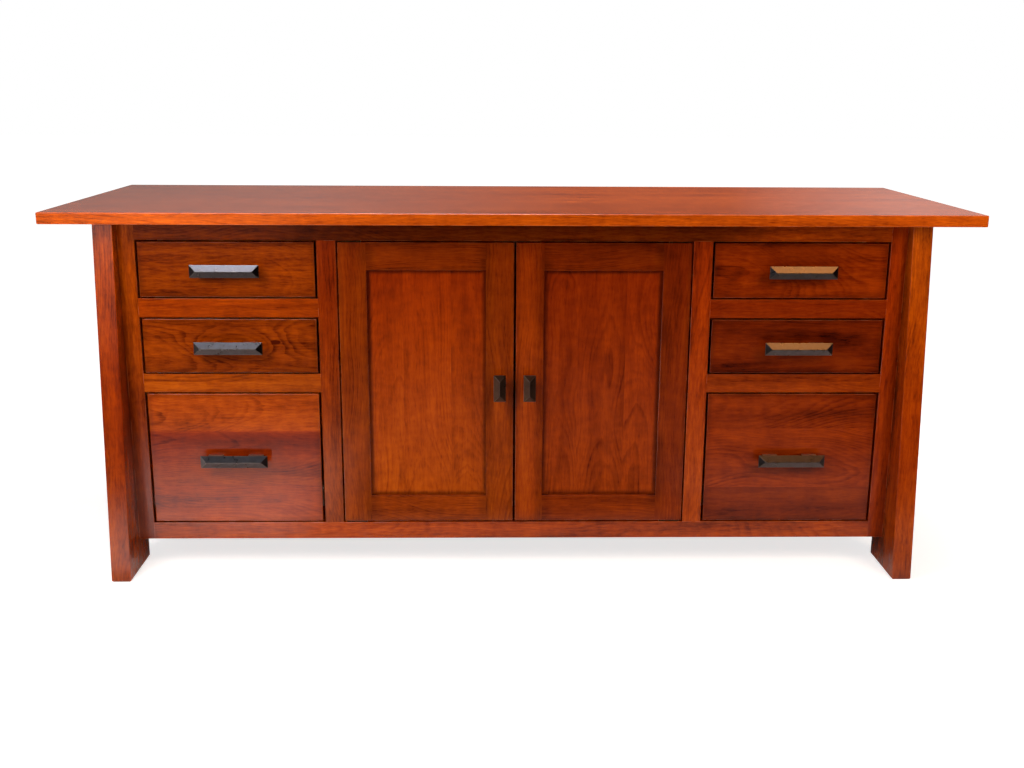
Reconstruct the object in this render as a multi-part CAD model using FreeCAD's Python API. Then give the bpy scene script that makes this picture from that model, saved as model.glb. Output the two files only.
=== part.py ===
import FreeCAD, Part
import math
import os

# Office credenza in solid cherry: a long, low case under an overhanging top.
#
# A pair of inset panelled doors stands in the middle. On each side of it are two
# box drawers over one file drawer. Four plank legs stand outside the case ends,
# and their outer edges run away from the case towards the floor.
#
# Units are millimetres. The origin is on the floor under the middle of the case,
# +X is to the right, -Y is the front and +Z is up.

V = FreeCAD.Vector

# ---------------------------------------------------------------- driving dimensions

# Overall
TOP_WIDTH = 1848.0
TOP_DEPTH = 637.0
HEIGHT = 762.0
TOP_THICKNESS = 23.0
END_OVERHANG = 90.0          # from a leg's outer face to the end of the top
FACE_OVERHANG = 73.0         # from the face frame to the front edge of the top
FLOOR_CLEARANCE = 65.0       # under the case
TOP_EASE = 2.0
TOP_CORNER_CHAMFER = 1.5      # off the upright corners, before the easing

# Legs, measured from the plane of the face frame, or of the back for a rear leg
LEG_THICKNESS = 40.0
LEG_LEAD_TOP = 25.0          # how far the leg stands proud under the top
LEG_LEAD_FOOT = 79.5         # and at the floor
LEG_TAIL = 64.5              # how far it reaches along the case end
LEG_FOOT_CHAMFER = 3.0
LEG_EASE = 1.5

# Face frame
FRAME_THICKNESS = 20.0
STILE_WIDTH = 33.0
MULLION_WIDTH = 39.0
TOP_RAIL_HEIGHT = 39.0
DRAWER_RAIL_HEIGHT = 39.0
BOTTOM_RAIL_HEIGHT = 36.0
DRAWER_OPENING_WIDTH = 361.5
DRAWER_OPENING_HEIGHT = 118.0
FRAME_EASE = 1.0             # the arris taken off the openings
TENON_LENGTH = 18.0
TENON_THICKNESS = 8.0
TENON_SHOULDER = 5.0
REVEAL = 3.0                 # gap over and under the doors and drawer fronts, and at the hinges
DRAWER_SIDE_GAP = 4.5        # gap at each end of a drawer front
MEETING_GAP = 4.5            # gap between the two doors

# Case
END_THICKNESS = 20.0
PARTITION_THICKNESS = 20.0
BOTTOM_THICKNESS = 19.0
BACK_THICKNESS = 9.0
BACK_RABBET = 10.0
DADO_DEPTH = 6.0
STRETCHER_WIDTH = 70.0
STRETCHER_THICKNESS = 20.0

# Doors
DOOR_STILE_WIDTH = 57.0
DOOR_RAIL_WIDTH = 57.0
DOOR_EASE = 1.5
SIGHT_EASE = 0.8
PANEL_RECESS = 9.0
PANEL_THICKNESS = 6.0
PANEL_GROOVE_DEPTH = 9.5
PANEL_FLOAT = 1.5            # room left at the bottom of the groove

# Knife hinges
PIVOT_FROM_STILE = 10.0      # pin centre to the mullion's edge
PIVOT_FROM_FACE = 6.0        # pin centre to the door's front face
LEAF_WIDTH = 9.0
LEAF_THICKNESS = 3.0
LEAF_LENGTH = 40.0           # pin centre to the leaf's square far end
LEAF_GAP = 0.2               # between the two leaves of a hinge
HINGE_PIN_RADIUS = 2.0
HINGE_PIN_PLAY = 0.05

# Drawers
FRONT_EASE = 1.5
BOARD_THICKNESS = 12.0
DRAWER_BOTTOM_THICKNESS = 6.0
DRAWER_BOTTOM_RISE = 10.0    # from the lower edge of the sides to the groove
DRAWER_GROOVE_DEPTH = 6.0
BOX_LIFT = 12.0              # from the opening's lower edge to the box
BOX_HEADROOM = 16.0          # from a box drawer's sides to the opening's upper edge
FILE_HEADROOM = 23.0
DOVETAIL_PITCH = 50.0
DOVETAIL_COUNT_MIN = 3
DOVETAIL_SLOPE = 1.0 / 7.0
DOVETAIL_PIN_SHARE = 0.4     # a pin's share of the pitch, half way along the tail
FILE_TONGUE_THICKNESS = 5.0  # what hanging folders hook over
FILE_TONGUE_HEIGHT = 15.0

# Ball-bearing slides
SLIDE_THICKNESS = 12.7
SLIDE_HEIGHT = 46.0
SLIDE_GAUGE = 1.2
SLIDE_RUNNING_GAP = 0.4
SLIDE_LIP = 3.2
SLIDE_STEP = 1.6             # from one member's web to the next one's
SLIDE_RISE = 40.0            # from the box's lower edge to the slide's centre line
SLIDE_END_GAP = 12.0         # from the slide's end to the back of the case
SLIDE_SETBACK = 2.0          # from the drawer front or the frame to the slide

# Pulls: a faceted bar on two posts
PULL_LENGTH = 138.0
PULL_HEIGHT = 26.0
PULL_RIM = 1.5
PULL_CROWN = 7.0
PULL_HIP = 13.0
PULL_RIDGE = 0.8
PULL_STANDOFF = 24.0
PULL_EASE = 0.35
POST_LENGTH = 31.0
POST_HEIGHT = 16.0
POST_TAPER = 2.0
POST_INSET = 12.0            # from the end of the bar to the post
DOOR_PULL_LENGTH = 56.0
DOOR_PULL_HEIGHT = 25.0

# Shelf
SHELF_THICKNESS = 19.0
SHELF_HEIGHT = 300.0         # from the case bottom to the underside of the shelf
SHELF_SETBACK = 25.0
SHELF_SIDE_GAP = 1.5
SHELF_HOLE_PITCH = 32.0
SHELF_HOLE_COUNT = 2
SHELF_HOLE_INSET = 50.0
SHELF_PIN_RADIUS = 2.5
SHELF_PIN_DEPTH = 10.0
SHELF_PIN_PLAY = 0.1
SHELF_SPADE_LENGTH = 9.0
SHELF_SPADE_WIDTH = 10.0
SHELF_SPADE_THICKNESS = 2.5

# Catch
CATCH_LENGTH = 60.0
CATCH_DEPTH = 16.0
CATCH_DROP = 34.0
CATCH_GAP = 0.5
CATCH_PLATE_LENGTH = 18.0
CATCH_PLATE_HEIGHT = 8.0
CATCH_PLATE_DEPTH = 3.0

# ---------------------------------------------------------------- derived places

CASE_TOP = HEIGHT - TOP_THICKNESS
CASE_DEPTH = TOP_DEPTH - 2 * FACE_OVERHANG
FACE_Y = -CASE_DEPTH / 2
REAR_Y = CASE_DEPTH / 2
BAY_FRONT_Y = FACE_Y + FRAME_THICKNESS
BAY_REAR_Y = REAR_Y - BACK_THICKNESS

LEG_OUTER_X = TOP_WIDTH / 2 - END_OVERHANG
CASE_X = LEG_OUTER_X - LEG_THICKNESS
END_INNER_X = CASE_X - END_THICKNESS
STILE_X = CASE_X - STILE_WIDTH
MULLION_OUTER_X = STILE_X - DRAWER_OPENING_WIDTH
DOOR_OPENING_X = MULLION_OUTER_X - MULLION_WIDTH
PARTITION_X = MULLION_OUTER_X - PARTITION_THICKNESS

OPENING_TOP = CASE_TOP - TOP_RAIL_HEIGHT
OPENING_BOTTOM = FLOOR_CLEARANCE + BOTTOM_RAIL_HEIGHT
ROW_PITCH = DRAWER_OPENING_HEIGHT + DRAWER_RAIL_HEIGHT
# lower and upper edge of each drawer opening, from the top down
DRAWER_ROWS = {
    "top": (OPENING_TOP - DRAWER_OPENING_HEIGHT, OPENING_TOP),
    "middle": (OPENING_TOP - ROW_PITCH - DRAWER_OPENING_HEIGHT, OPENING_TOP - ROW_PITCH),
    "file": (OPENING_BOTTOM, OPENING_TOP - 2 * ROW_PITCH),
}
SHELF_Z = OPENING_BOTTOM + SHELF_HEIGHT
STRETCHER_Z = CASE_TOP - STRETCHER_THICKNESS

SLIDE_LENGTH = BAY_REAR_Y - BAY_FRONT_Y - SLIDE_END_GAP
SLIDE_Y = BAY_FRONT_Y + SLIDE_SETBACK
BAY_CENTRE_X = (STILE_X + MULLION_OUTER_X) / 2
BOX_HALF_WIDTH = DRAWER_OPENING_WIDTH / 2 - SLIDE_THICKNESS
BOX_LENGTH = SLIDE_LENGTH

DOOR_OUTER_X = DOOR_OPENING_X - REVEAL
DOOR_INNER_X = MEETING_GAP / 2
DOOR_BOTTOM = OPENING_BOTTOM + REVEAL
DOOR_TOP = OPENING_TOP - REVEAL
PIVOT_X = DOOR_OPENING_X - PIVOT_FROM_STILE
PIVOT_Y = FACE_Y + PIVOT_FROM_FACE

TOLERANCE = 0.01


# ---------------------------------------------------------------- small helpers

def block(x0, x1, y0, y1, z0, z1):
    """A box between two values along each axis, given in either order."""
    low = V(min(x0, x1), min(y0, y1), min(z0, z1))
    return Part.makeBox(abs(x1 - x0), abs(y1 - y0), abs(z1 - z0), low)


def prism(points, sweep):
    """The closed outline through the points, swept along a vector."""
    return Part.Face(Part.makePolygon(points + points[:1])).extrude(sweep)


def cylinder(radius, base, axis, length):
    return Part.makeCylinder(radius, length, base, axis)


def mirror_x(shape):
    return shape.mirror(V(0, 0, 0), V(1, 0, 0))


def mirror_y(shape):
    return shape.mirror(V(0, 0, 0), V(0, 1, 0))


def ease(shape, radius, on_edge):
    """Round over the edges that the test on their bounding box picks."""
    edges = [e for e in shape.Edges if on_edge(e.BoundBox)]
    return shape.makeFillet(radius, edges)


def bevel(shape, size, on_edge):
    """Cut the edges that the test on their bounding box picks at 45 degrees."""
    edges = [e for e in shape.Edges if on_edge(e.BoundBox)]
    return shape.makeChamfer(size, edges)


def in_plane(low, high, value):
    return abs(low - value) < TOLERANCE and abs(high - value) < TOLERANCE


def join(shapes):
    """Fuse pieces of one board or casting into one solid with clean faces."""
    return shapes[0].fuse(shapes[1:]).removeSplitter()


# ---------------------------------------------------------------- top and legs

def make_top_slab():
    """The top, with its corners taken off, and eased along both faces."""
    slab = block(-TOP_WIDTH / 2, TOP_WIDTH / 2, -TOP_DEPTH / 2, TOP_DEPTH / 2, CASE_TOP, HEIGHT)
    slab = bevel(slab, TOP_CORNER_CHAMFER, lambda b: b.ZLength > TOP_THICKNESS / 2)
    return ease(slab, TOP_EASE, lambda b: b.ZLength < TOLERANCE)


def make_front_right_leg():
    """A plank whose back edge is upright and whose front edge leads to the floor."""
    outline = [
        V(CASE_X, FACE_Y - LEG_LEAD_TOP, CASE_TOP),
        V(CASE_X, FACE_Y - LEG_LEAD_FOOT, 0),
        V(CASE_X, FACE_Y + LEG_TAIL, 0),
        V(CASE_X, FACE_Y + LEG_TAIL, CASE_TOP),
    ]
    plank = prism(outline, V(LEG_THICKNESS, 0, 0))
    plank = bevel(plank, LEG_FOOT_CHAMFER, lambda b: in_plane(b.ZMin, b.ZMax, 0))
    return ease(plank, LEG_EASE, lambda b: b.ZLength > CASE_TOP / 2)


# ---------------------------------------------------------------- face frame

def tenon(x0, x1, z0, z1):
    """A tenon in the middle of the face frame's thickness."""
    middle = FACE_Y + FRAME_THICKNESS / 2
    return block(x0, x1, middle - TENON_THICKNESS / 2, middle + TENON_THICKNESS / 2, z0, z1)


def make_face_frame():
    """The frame's members, cut from one frame so that the eased openings meet at the joints."""
    blank = block(-CASE_X, CASE_X, FACE_Y, BAY_FRONT_Y, FLOOR_CLEARANCE, CASE_TOP)
    openings = [block(-DOOR_OPENING_X, DOOR_OPENING_X, FACE_Y, BAY_FRONT_Y, OPENING_BOTTOM, OPENING_TOP)]
    for low, high in DRAWER_ROWS.values():
        opening = block(MULLION_OUTER_X, STILE_X, FACE_Y, BAY_FRONT_Y, low, high)
        openings += [opening, mirror_x(opening)]
    frame = blank.cut(openings)
    frame = bevel(
        frame, FRAME_EASE,
        lambda b: in_plane(b.YMin, b.YMax, FACE_Y) and b.XMin > -CASE_X + 1 and b.XMax < CASE_X - 1,
    )

    def member(x0, x1, z0, z1):
        return frame.common(block(x0, x1, FACE_Y, BAY_FRONT_Y, z0, z1))

    stile = member(STILE_X, CASE_X, FLOOR_CLEARANCE, CASE_TOP)
    mullion = member(DOOR_OPENING_X, MULLION_OUTER_X, OPENING_BOTTOM, OPENING_TOP)

    # drawer rails are tenoned into the mullion and the stile
    drawer_rails = []
    for row in ("top", "middle"):
        high = DRAWER_ROWS[row][0]
        low = high - DRAWER_RAIL_HEIGHT
        inner, outer = [tenon(x0, x1, low + TENON_SHOULDER, high - TENON_SHOULDER)
                        for x0, x1 in ((MULLION_OUTER_X - TENON_LENGTH, MULLION_OUTER_X),
                                       (STILE_X, STILE_X + TENON_LENGTH))]
        mullion = mullion.cut(inner)
        stile = stile.cut(outer)
        rail = join([member(MULLION_OUTER_X, STILE_X, low, high), inner, outer])
        drawer_rails += [rail, mirror_x(rail)]

    # the long rails are tenoned into the stiles, and the mullions into the long rails
    leaf_seats = [seat for side in (1, -1) for seat in hinge_leaf_seats(side)["frame"]]
    rails = {}
    for name, low, high, shoulder, tip in (
            ("top_rail", OPENING_TOP, CASE_TOP, OPENING_TOP, OPENING_TOP + TENON_LENGTH),
            ("bottom_rail", FLOOR_CLEARANCE, OPENING_BOTTOM, OPENING_BOTTOM, OPENING_BOTTOM - TENON_LENGTH)):
        end = tenon(STILE_X, STILE_X + TENON_LENGTH, low + TENON_SHOULDER, high - TENON_SHOULDER)
        stile = stile.cut(end)
        foot = tenon(DOOR_OPENING_X + TENON_SHOULDER, MULLION_OUTER_X - TENON_SHOULDER, shoulder, tip)
        mullion = join([mullion, foot])
        rail = join([member(-STILE_X, STILE_X, low, high), end, mirror_x(end)])
        rails[name] = rail.cut([foot, mirror_x(foot)] + leaf_seats)
    return {
        "stile_right": [stile],
        "stile_left": [mirror_x(stile)],
        "mullion_right": [mullion],
        "mullion_left": [mirror_x(mullion)],
        "top_rail": [rails["top_rail"]],
        "bottom_rail": [rails["bottom_rail"]],
        "drawer_rails": drawer_rails,
    }


# ---------------------------------------------------------------- case

def make_stretchers():
    """Two flat boards under the top, let into the case ends."""
    front = block(-END_INNER_X - DADO_DEPTH, END_INNER_X + DADO_DEPTH,
                  BAY_FRONT_Y, BAY_FRONT_Y + STRETCHER_WIDTH, STRETCHER_Z, CASE_TOP)
    rear = block(-END_INNER_X - DADO_DEPTH, END_INNER_X + DADO_DEPTH,
                 BAY_REAR_Y - STRETCHER_WIDTH, BAY_REAR_Y, STRETCHER_Z, CASE_TOP)
    return [front, rear]


def make_bottom_panel():
    low = OPENING_BOTTOM - BOTTOM_THICKNESS
    return block(-END_INNER_X - DADO_DEPTH, END_INNER_X + DADO_DEPTH,
                 BAY_FRONT_Y, BAY_REAR_Y, low, OPENING_BOTTOM)


def make_right_partition(stretchers):
    """Stands in the case bottom, notched for the stretchers and drilled for shelf pins."""
    board = block(PARTITION_X, MULLION_OUTER_X, BAY_FRONT_Y, BAY_REAR_Y,
                  OPENING_BOTTOM - DADO_DEPTH, CASE_TOP)
    board = board.cut(stretchers)
    holes = []
    for y in shelf_pin_rows():
        for step in range(SHELF_HOLE_COUNT):
            z = SHELF_Z + (step - SHELF_HOLE_COUNT // 2) * SHELF_HOLE_PITCH - SHELF_PIN_RADIUS
            holes.append(cylinder(SHELF_PIN_RADIUS + SHELF_PIN_PLAY, V(PARTITION_X, y, z),
                                  V(1, 0, 0), SHELF_PIN_DEPTH))
    return board.cut(holes)


def make_right_end(bottom_panel, stretchers):
    """The case end, rabbeted for the back and dadoed for the bottom and the stretchers."""
    board = block(END_INNER_X, CASE_X, BAY_FRONT_Y, REAR_Y, FLOOR_CLEARANCE, CASE_TOP)
    rabbet = block(END_INNER_X, END_INNER_X + BACK_RABBET, BAY_REAR_Y, REAR_Y, FLOOR_CLEARANCE, CASE_TOP)
    return board.cut([rabbet, bottom_panel] + stretchers)


def make_right_cleats():
    """Strips on the case end that bring the slides out to the stile's edge."""
    return [block(STILE_X, END_INNER_X, BAY_FRONT_Y, SLIDE_Y + SLIDE_LENGTH,
                  slide_height(row) - SLIDE_HEIGHT / 2, slide_height(row) + SLIDE_HEIGHT / 2)
            for row in DRAWER_ROWS]


def make_back_panel():
    half = END_INNER_X + BACK_RABBET
    return block(-half, half, BAY_REAR_Y, REAR_Y, FLOOR_CLEARANCE, CASE_TOP)


# ---------------------------------------------------------------- shelf and catch

def shelf_front_y():
    return BAY_FRONT_Y + SHELF_SETBACK


def shelf_pin_rows():
    return (shelf_front_y() + SHELF_HOLE_INSET, BAY_REAR_Y - SHELF_HOLE_INSET)


def make_shelf():
    half = PARTITION_X - SHELF_SIDE_GAP
    board = block(-half, half, shelf_front_y(), BAY_REAR_Y - SHELF_SIDE_GAP,
                  SHELF_Z, SHELF_Z + SHELF_THICKNESS)
    return [bevel(board, FRAME_EASE, lambda b: in_plane(b.YMin, b.YMax, shelf_front_y()) and b.XLength > 1)]


def make_shelf_pins():
    """Spade pins: a round shank in the partition and a flat spade under the shelf."""
    pins = []
    for y in shelf_pin_rows():
        shank = cylinder(SHELF_PIN_RADIUS, V(PARTITION_X + SHELF_PIN_DEPTH, y, SHELF_Z - SHELF_PIN_RADIUS),
                         V(-1, 0, 0), SHELF_PIN_DEPTH + SHELF_SPADE_THICKNESS)
        spade = block(PARTITION_X - SHELF_SPADE_LENGTH, PARTITION_X,
                      y - SHELF_SPADE_WIDTH / 2, y + SHELF_SPADE_WIDTH / 2,
                      SHELF_Z - SHELF_SPADE_THICKNESS, SHELF_Z)
        pin = join([shank, spade])
        pins += [pin, mirror_x(pin)]
    return pins


def make_door_catch():
    """A housing hung from the front stretcher, with a pole plate for each door."""
    front = BAY_FRONT_Y + CATCH_GAP
    half = CATCH_LENGTH / 2
    low = STRETCHER_Z - CATCH_DROP
    housing = block(-half, half, front, front + CATCH_DEPTH, low, STRETCHER_Z)
    housing = bevel(housing, FRAME_EASE, lambda b: in_plane(b.ZMin, b.ZMax, low))
    plate_z = low + CATCH_DROP / 3
    plates = []
    for side in (-1, 1):
        centre = side * half / 2
        plates.append(block(centre - CATCH_PLATE_LENGTH / 2, centre + CATCH_PLATE_LENGTH / 2,
                            front, front + CATCH_PLATE_DEPTH,
                            plate_z - CATCH_PLATE_HEIGHT / 2, plate_z + CATCH_PLATE_HEIGHT / 2))
    return [housing.cut(plates)] + plates


# ---------------------------------------------------------------- doors

def leaf(z0, z1):
    """The flat of a right-hand door's hinge leaf: a bar that ends in half an octagon about the pin."""
    half = LEAF_WIDTH / 2
    corner = half * math.tan(math.pi / 8)
    outline = [
        V(PIVOT_X - LEAF_LENGTH, PIVOT_Y - half, z0),
        V(PIVOT_X + corner, PIVOT_Y - half, z0),
        V(PIVOT_X + half, PIVOT_Y - corner, z0),
        V(PIVOT_X + half, PIVOT_Y + corner, z0),
        V(PIVOT_X + corner, PIVOT_Y + half, z0),
        V(PIVOT_X - LEAF_LENGTH, PIVOT_Y + half, z0),
    ]
    return prism(outline, V(0, 0, z1 - z0))


def hinge_leaf_levels():
    """Lower and upper level of each leaf: (frame leaf, door leaf), at the top and at the bottom."""
    proud = (REVEAL - LEAF_GAP) / 2
    let_in = LEAF_THICKNESS - proud
    return {
        "top": ((OPENING_TOP - proud, OPENING_TOP + let_in), (DOOR_TOP - let_in, DOOR_TOP + proud)),
        "bottom": ((OPENING_BOTTOM - let_in, OPENING_BOTTOM + proud),
                   (DOOR_BOTTOM - proud, DOOR_BOTTOM + let_in)),
    }


def hinge_leaf_seats(side):
    """The flats of the four leaves at one door, which also cut their mortises."""
    seats = {"frame": [], "door": []}
    for frame_levels, door_levels in hinge_leaf_levels().values():
        for key, levels in (("frame", frame_levels), ("door", door_levels)):
            flat = leaf(*levels)
            seats[key].append(flat if side > 0 else mirror_x(flat))
    return seats


def make_frame_leaves():
    """The leaves let into the rails, each with its pin."""
    leaves = []
    for end, (frame_levels, door_levels) in hinge_leaf_levels().items():
        down = end == "top"
        face_z = frame_levels[0] if down else frame_levels[1]
        far_z = door_levels[0] if down else door_levels[1]
        axis = V(0, 0, -1) if down else V(0, 0, 1)
        pin = cylinder(HINGE_PIN_RADIUS, V(PIVOT_X, PIVOT_Y, face_z), axis, abs(far_z - face_z))
        solid = join([leaf(*frame_levels), pin])
        leaves += [solid, mirror_x(solid)]
    return leaves


def make_door_leaves():
    """The leaves let into the ends of a right-hand door's hinge stile, bored for the pin."""
    leaves = []
    for _, door_levels in hinge_leaf_levels().values():
        bore = cylinder(HINGE_PIN_RADIUS + HINGE_PIN_PLAY, V(PIVOT_X, PIVOT_Y, door_levels[0]),
                        V(0, 0, 1), LEAF_THICKNESS)
        leaves.append(leaf(*door_levels).cut(bore))
    return leaves


def make_right_door():
    """Stile-and-rail door with a flat panel floating in a groove."""
    back_y = BAY_FRONT_Y
    sight_x0 = DOOR_INNER_X + DOOR_STILE_WIDTH
    sight_x1 = DOOR_OUTER_X - DOOR_STILE_WIDTH
    sight_z0 = DOOR_BOTTOM + DOOR_RAIL_WIDTH
    sight_z1 = DOOR_TOP - DOOR_RAIL_WIDTH
    groove_y0 = FACE_Y + PANEL_RECESS
    groove_y1 = groove_y0 + PANEL_THICKNESS

    blank = block(DOOR_INNER_X, DOOR_OUTER_X, FACE_Y, back_y, DOOR_BOTTOM, DOOR_TOP)
    blank = blank.cut(block(sight_x0, sight_x1, FACE_Y, back_y, sight_z0, sight_z1))

    def on_front(box):
        return in_plane(box.YMin, box.YMax, FACE_Y)

    def at_the_panel(box):
        return (sight_x0 - 1 < box.XMin and box.XMax < sight_x1 + 1
                and sight_z0 - 1 < box.ZMin and box.ZMax < sight_z1 + 1)

    blank = ease(blank, DOOR_EASE, lambda box: on_front(box) and not at_the_panel(box))
    blank = bevel(blank, SIGHT_EASE, lambda box: on_front(box) and at_the_panel(box))

    groove = [
        block(sight_x0 - PANEL_GROOVE_DEPTH, sight_x0, groove_y0, groove_y1, DOOR_BOTTOM, DOOR_TOP),
        block(sight_x1, sight_x1 + PANEL_GROOVE_DEPTH, groove_y0, groove_y1, DOOR_BOTTOM, DOOR_TOP),
    ]

    solids = []
    seats = hinge_leaf_seats(1)["door"]
    for x0, x1 in ((DOOR_INNER_X, sight_x0), (sight_x1, DOOR_OUTER_X)):
        stile = blank.common(block(x0, x1, FACE_Y, back_y, DOOR_BOTTOM, DOOR_TOP))
        solids.append(stile.cut(groove + seats))
    for z0, z1, rail_groove in (
            (DOOR_BOTTOM, sight_z0, (sight_z0 - PANEL_GROOVE_DEPTH, sight_z0)),
            (sight_z1, DOOR_TOP, (sight_z1, sight_z1 + PANEL_GROOVE_DEPTH))):
        rail = blank.common(block(sight_x0, sight_x1, FACE_Y, back_y, z0, z1))
        tongues = [g.common(block(-CASE_X, CASE_X, FACE_Y, back_y, z0, z1)) for g in groove]
        channel = block(sight_x0 - PANEL_GROOVE_DEPTH, sight_x1 + PANEL_GROOVE_DEPTH,
                        groove_y0, groove_y1, rail_groove[0], rail_groove[1])
        solids.append(join([rail] + tongues).cut(channel))

    reach = PANEL_GROOVE_DEPTH - PANEL_FLOAT
    panel = block(sight_x0 - reach, sight_x1 + reach, groove_y0, groove_y1,
                  sight_z0 - reach, sight_z1 + reach)
    pull = make_pull(DOOR_PULL_LENGTH, DOOR_PULL_HEIGHT, [0.0])
    pull.rotate(V(0, 0, 0), V(0, 1, 0), 90)
    pull.translate(V(DOOR_INNER_X + DOOR_STILE_WIDTH / 2, FACE_Y, (DOOR_BOTTOM + DOOR_TOP) / 2))
    return {
        "door_frame": solids,
        "door_panel": [panel],
        "door_pull": [pull],
        "door_hinge_leaves": make_door_leaves(),
    }


# ---------------------------------------------------------------- pulls

def frustum(length0, height0, length1, height1, y0, y1):
    """A block that narrows from one size at y0 to another at y1, standing towards -Y."""
    wedge = Part.makeWedge(-length0 / 2, y0, -height0 / 2, -height1 / 2, -length1 / 2,
                           length0 / 2, y1, height0 / 2, height1 / 2, length1 / 2)
    return mirror_y(wedge)


def make_pull(length, height, post_places):
    """A bar with a hipped face on tapered posts. Its foot is at the origin, on the XZ plane."""
    rim_y = PULL_STANDOFF + PULL_RIM
    bar = join([
        frustum(length, height, length, height, PULL_STANDOFF, rim_y),
        frustum(length, height, length - 2 * PULL_HIP, PULL_RIDGE, rim_y, rim_y + PULL_CROWN),
    ])
    bar = bar.makeChamfer(PULL_EASE, bar.Edges)
    pieces = [bar]
    for x in post_places:
        post = frustum(POST_LENGTH, POST_HEIGHT, POST_LENGTH - POST_TAPER, POST_HEIGHT - POST_TAPER,
                       0, PULL_STANDOFF)
        post.translate(V(x, 0, 0))
        pieces.append(post)
    return join(pieces)


# ---------------------------------------------------------------- drawers

def slide_height(row):
    """The level of a row's slides."""
    return DRAWER_ROWS[row][0] + BOX_LIFT + SLIDE_RISE


def dovetail_tails(x0, x1, root_y, end_y, z0, z1):
    """The tails on one end of a drawer side, as prisms that widen towards the end."""
    count = max(DOVETAIL_COUNT_MIN, round((z1 - z0) / DOVETAIL_PITCH))
    pitch = (z1 - z0) / count
    middle_half = pitch * (1 - DOVETAIL_PIN_SHARE) / 2
    flare = abs(end_y - root_y) * DOVETAIL_SLOPE / 2
    tails = []
    for index in range(count):
        z = z0 + pitch * (index + 0.5)
        tails.append(prism([
            V(x0, root_y, z - middle_half + flare),
            V(x0, end_y, z - middle_half - flare),
            V(x0, end_y, z + middle_half + flare),
            V(x0, root_y, z + middle_half - flare),
        ], V(x1 - x0, 0, 0)))
    return tails


def make_drawer(row):
    """One drawer of the right-hand bank, closed."""
    low, high = DRAWER_ROWS[row]
    is_file = row == "file"
    front = block(MULLION_OUTER_X + DRAWER_SIDE_GAP, STILE_X - DRAWER_SIDE_GAP, FACE_Y, BAY_FRONT_Y,
                  low + REVEAL, high - REVEAL)
    front = ease(front, FRONT_EASE, lambda b: in_plane(b.YMin, b.YMax, FACE_Y))

    z0 = low + BOX_LIFT
    z1 = high - (FILE_HEADROOM if is_file else BOX_HEADROOM)
    x0 = BAY_CENTRE_X - BOX_HALF_WIDTH
    x1 = BAY_CENTRE_X + BOX_HALF_WIDTH
    y0 = BAY_FRONT_Y
    y1 = y0 + BOX_LENGTH
    inner_x0, inner_x1 = x0 + BOARD_THICKNESS, x1 - BOARD_THICKNESS
    inner_y0, inner_y1 = y0 + BOARD_THICKNESS, y1 - BOARD_THICKNESS

    floor_z = z0 + DRAWER_BOTTOM_RISE
    floor = block(inner_x0 - DRAWER_GROOVE_DEPTH, inner_x1 + DRAWER_GROOVE_DEPTH,
                  inner_y0 - DRAWER_GROOVE_DEPTH, inner_y1 + DRAWER_GROOVE_DEPTH,
                  floor_z, floor_z + DRAWER_BOTTOM_THICKNESS)

    sides, all_tails = [], []
    for side_x0, side_x1 in ((x0, inner_x0), (inner_x1, x1)):
        tails = (dovetail_tails(side_x0, side_x1, inner_y0, y0, z0, z1)
                 + dovetail_tails(side_x0, side_x1, inner_y1, y1, z0, z1))
        side = join([block(side_x0, side_x1, inner_y0, inner_y1, z0, z1)] + tails).cut(floor)
        if is_file:
            outer = side_x0 if side_x0 == x0 else side_x1 - (BOARD_THICKNESS - FILE_TONGUE_THICKNESS)
            side = side.cut(block(outer, outer + BOARD_THICKNESS - FILE_TONGUE_THICKNESS,
                                  inner_y0, inner_y1, z1 - FILE_TONGUE_HEIGHT, z1))
        sides.append(side)
        all_tails += tails
    ends = [block(x0, x1, a, b, z0, z1).cut(all_tails + [floor]).removeSplitter()
            for a, b in ((y0, inner_y0), (inner_y1, y1))]

    pull = make_pull(PULL_LENGTH, PULL_HEIGHT, drawer_post_places())
    pull.translate(V(BAY_CENTRE_X, FACE_Y, (low + high) / 2))
    return {
        "drawer_front": [front],
        "drawer_box": sides + ends + [floor],
        "drawer_pull": [pull],
        "drawer_slides": slide_pair(row, "drawer", three_members=is_file),
    }


def drawer_post_places():
    offset = PULL_LENGTH / 2 - POST_INSET - POST_LENGTH / 2
    return [-offset, offset]


# ---------------------------------------------------------------- slides

def channel(web_x, edge_x, half_height, lip, z):
    """A rolled channel: a web, two flanges that run to edge_x, and lips turned inwards."""
    towards = math.copysign(SLIDE_GAUGE, edge_x - web_x)
    y0, y1 = SLIDE_Y, SLIDE_Y + SLIDE_LENGTH
    pieces = [block(web_x, web_x + towards, y0, y1, z - half_height, z + half_height)]
    for side in (-1, 1):
        outer = z + side * half_height
        pieces.append(block(web_x, edge_x, y0, y1, outer, outer - side * SLIDE_GAUGE))
        if lip:
            pieces.append(block(edge_x - towards, edge_x, y0, y1, outer, outer - side * lip))
    return join(pieces)


def slide_profile(part, three_members):
    """Web, flange edge, half height and lip of a member, counted from the case side inwards."""
    case_half = SLIDE_HEIGHT / 2
    middle_half = case_half - SLIDE_LIP - SLIDE_GAUGE - SLIDE_RUNNING_GAP
    profiles = {
        "case": (0.0, SLIDE_THICKNESS - 2 * SLIDE_STEP, case_half, SLIDE_LIP + SLIDE_GAUGE),
        "middle": (SLIDE_STEP, SLIDE_THICKNESS - SLIDE_STEP - SLIDE_RUNNING_GAP, middle_half,
                   SLIDE_LIP),
    }
    if three_members:
        drawer_half = middle_half - SLIDE_LIP - SLIDE_RUNNING_GAP
    else:
        drawer_half = middle_half
    profiles["drawer"] = (SLIDE_THICKNESS, SLIDE_STEP + SLIDE_GAUGE + SLIDE_RUNNING_GAP, drawer_half, 0)
    return profiles[part]


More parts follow.
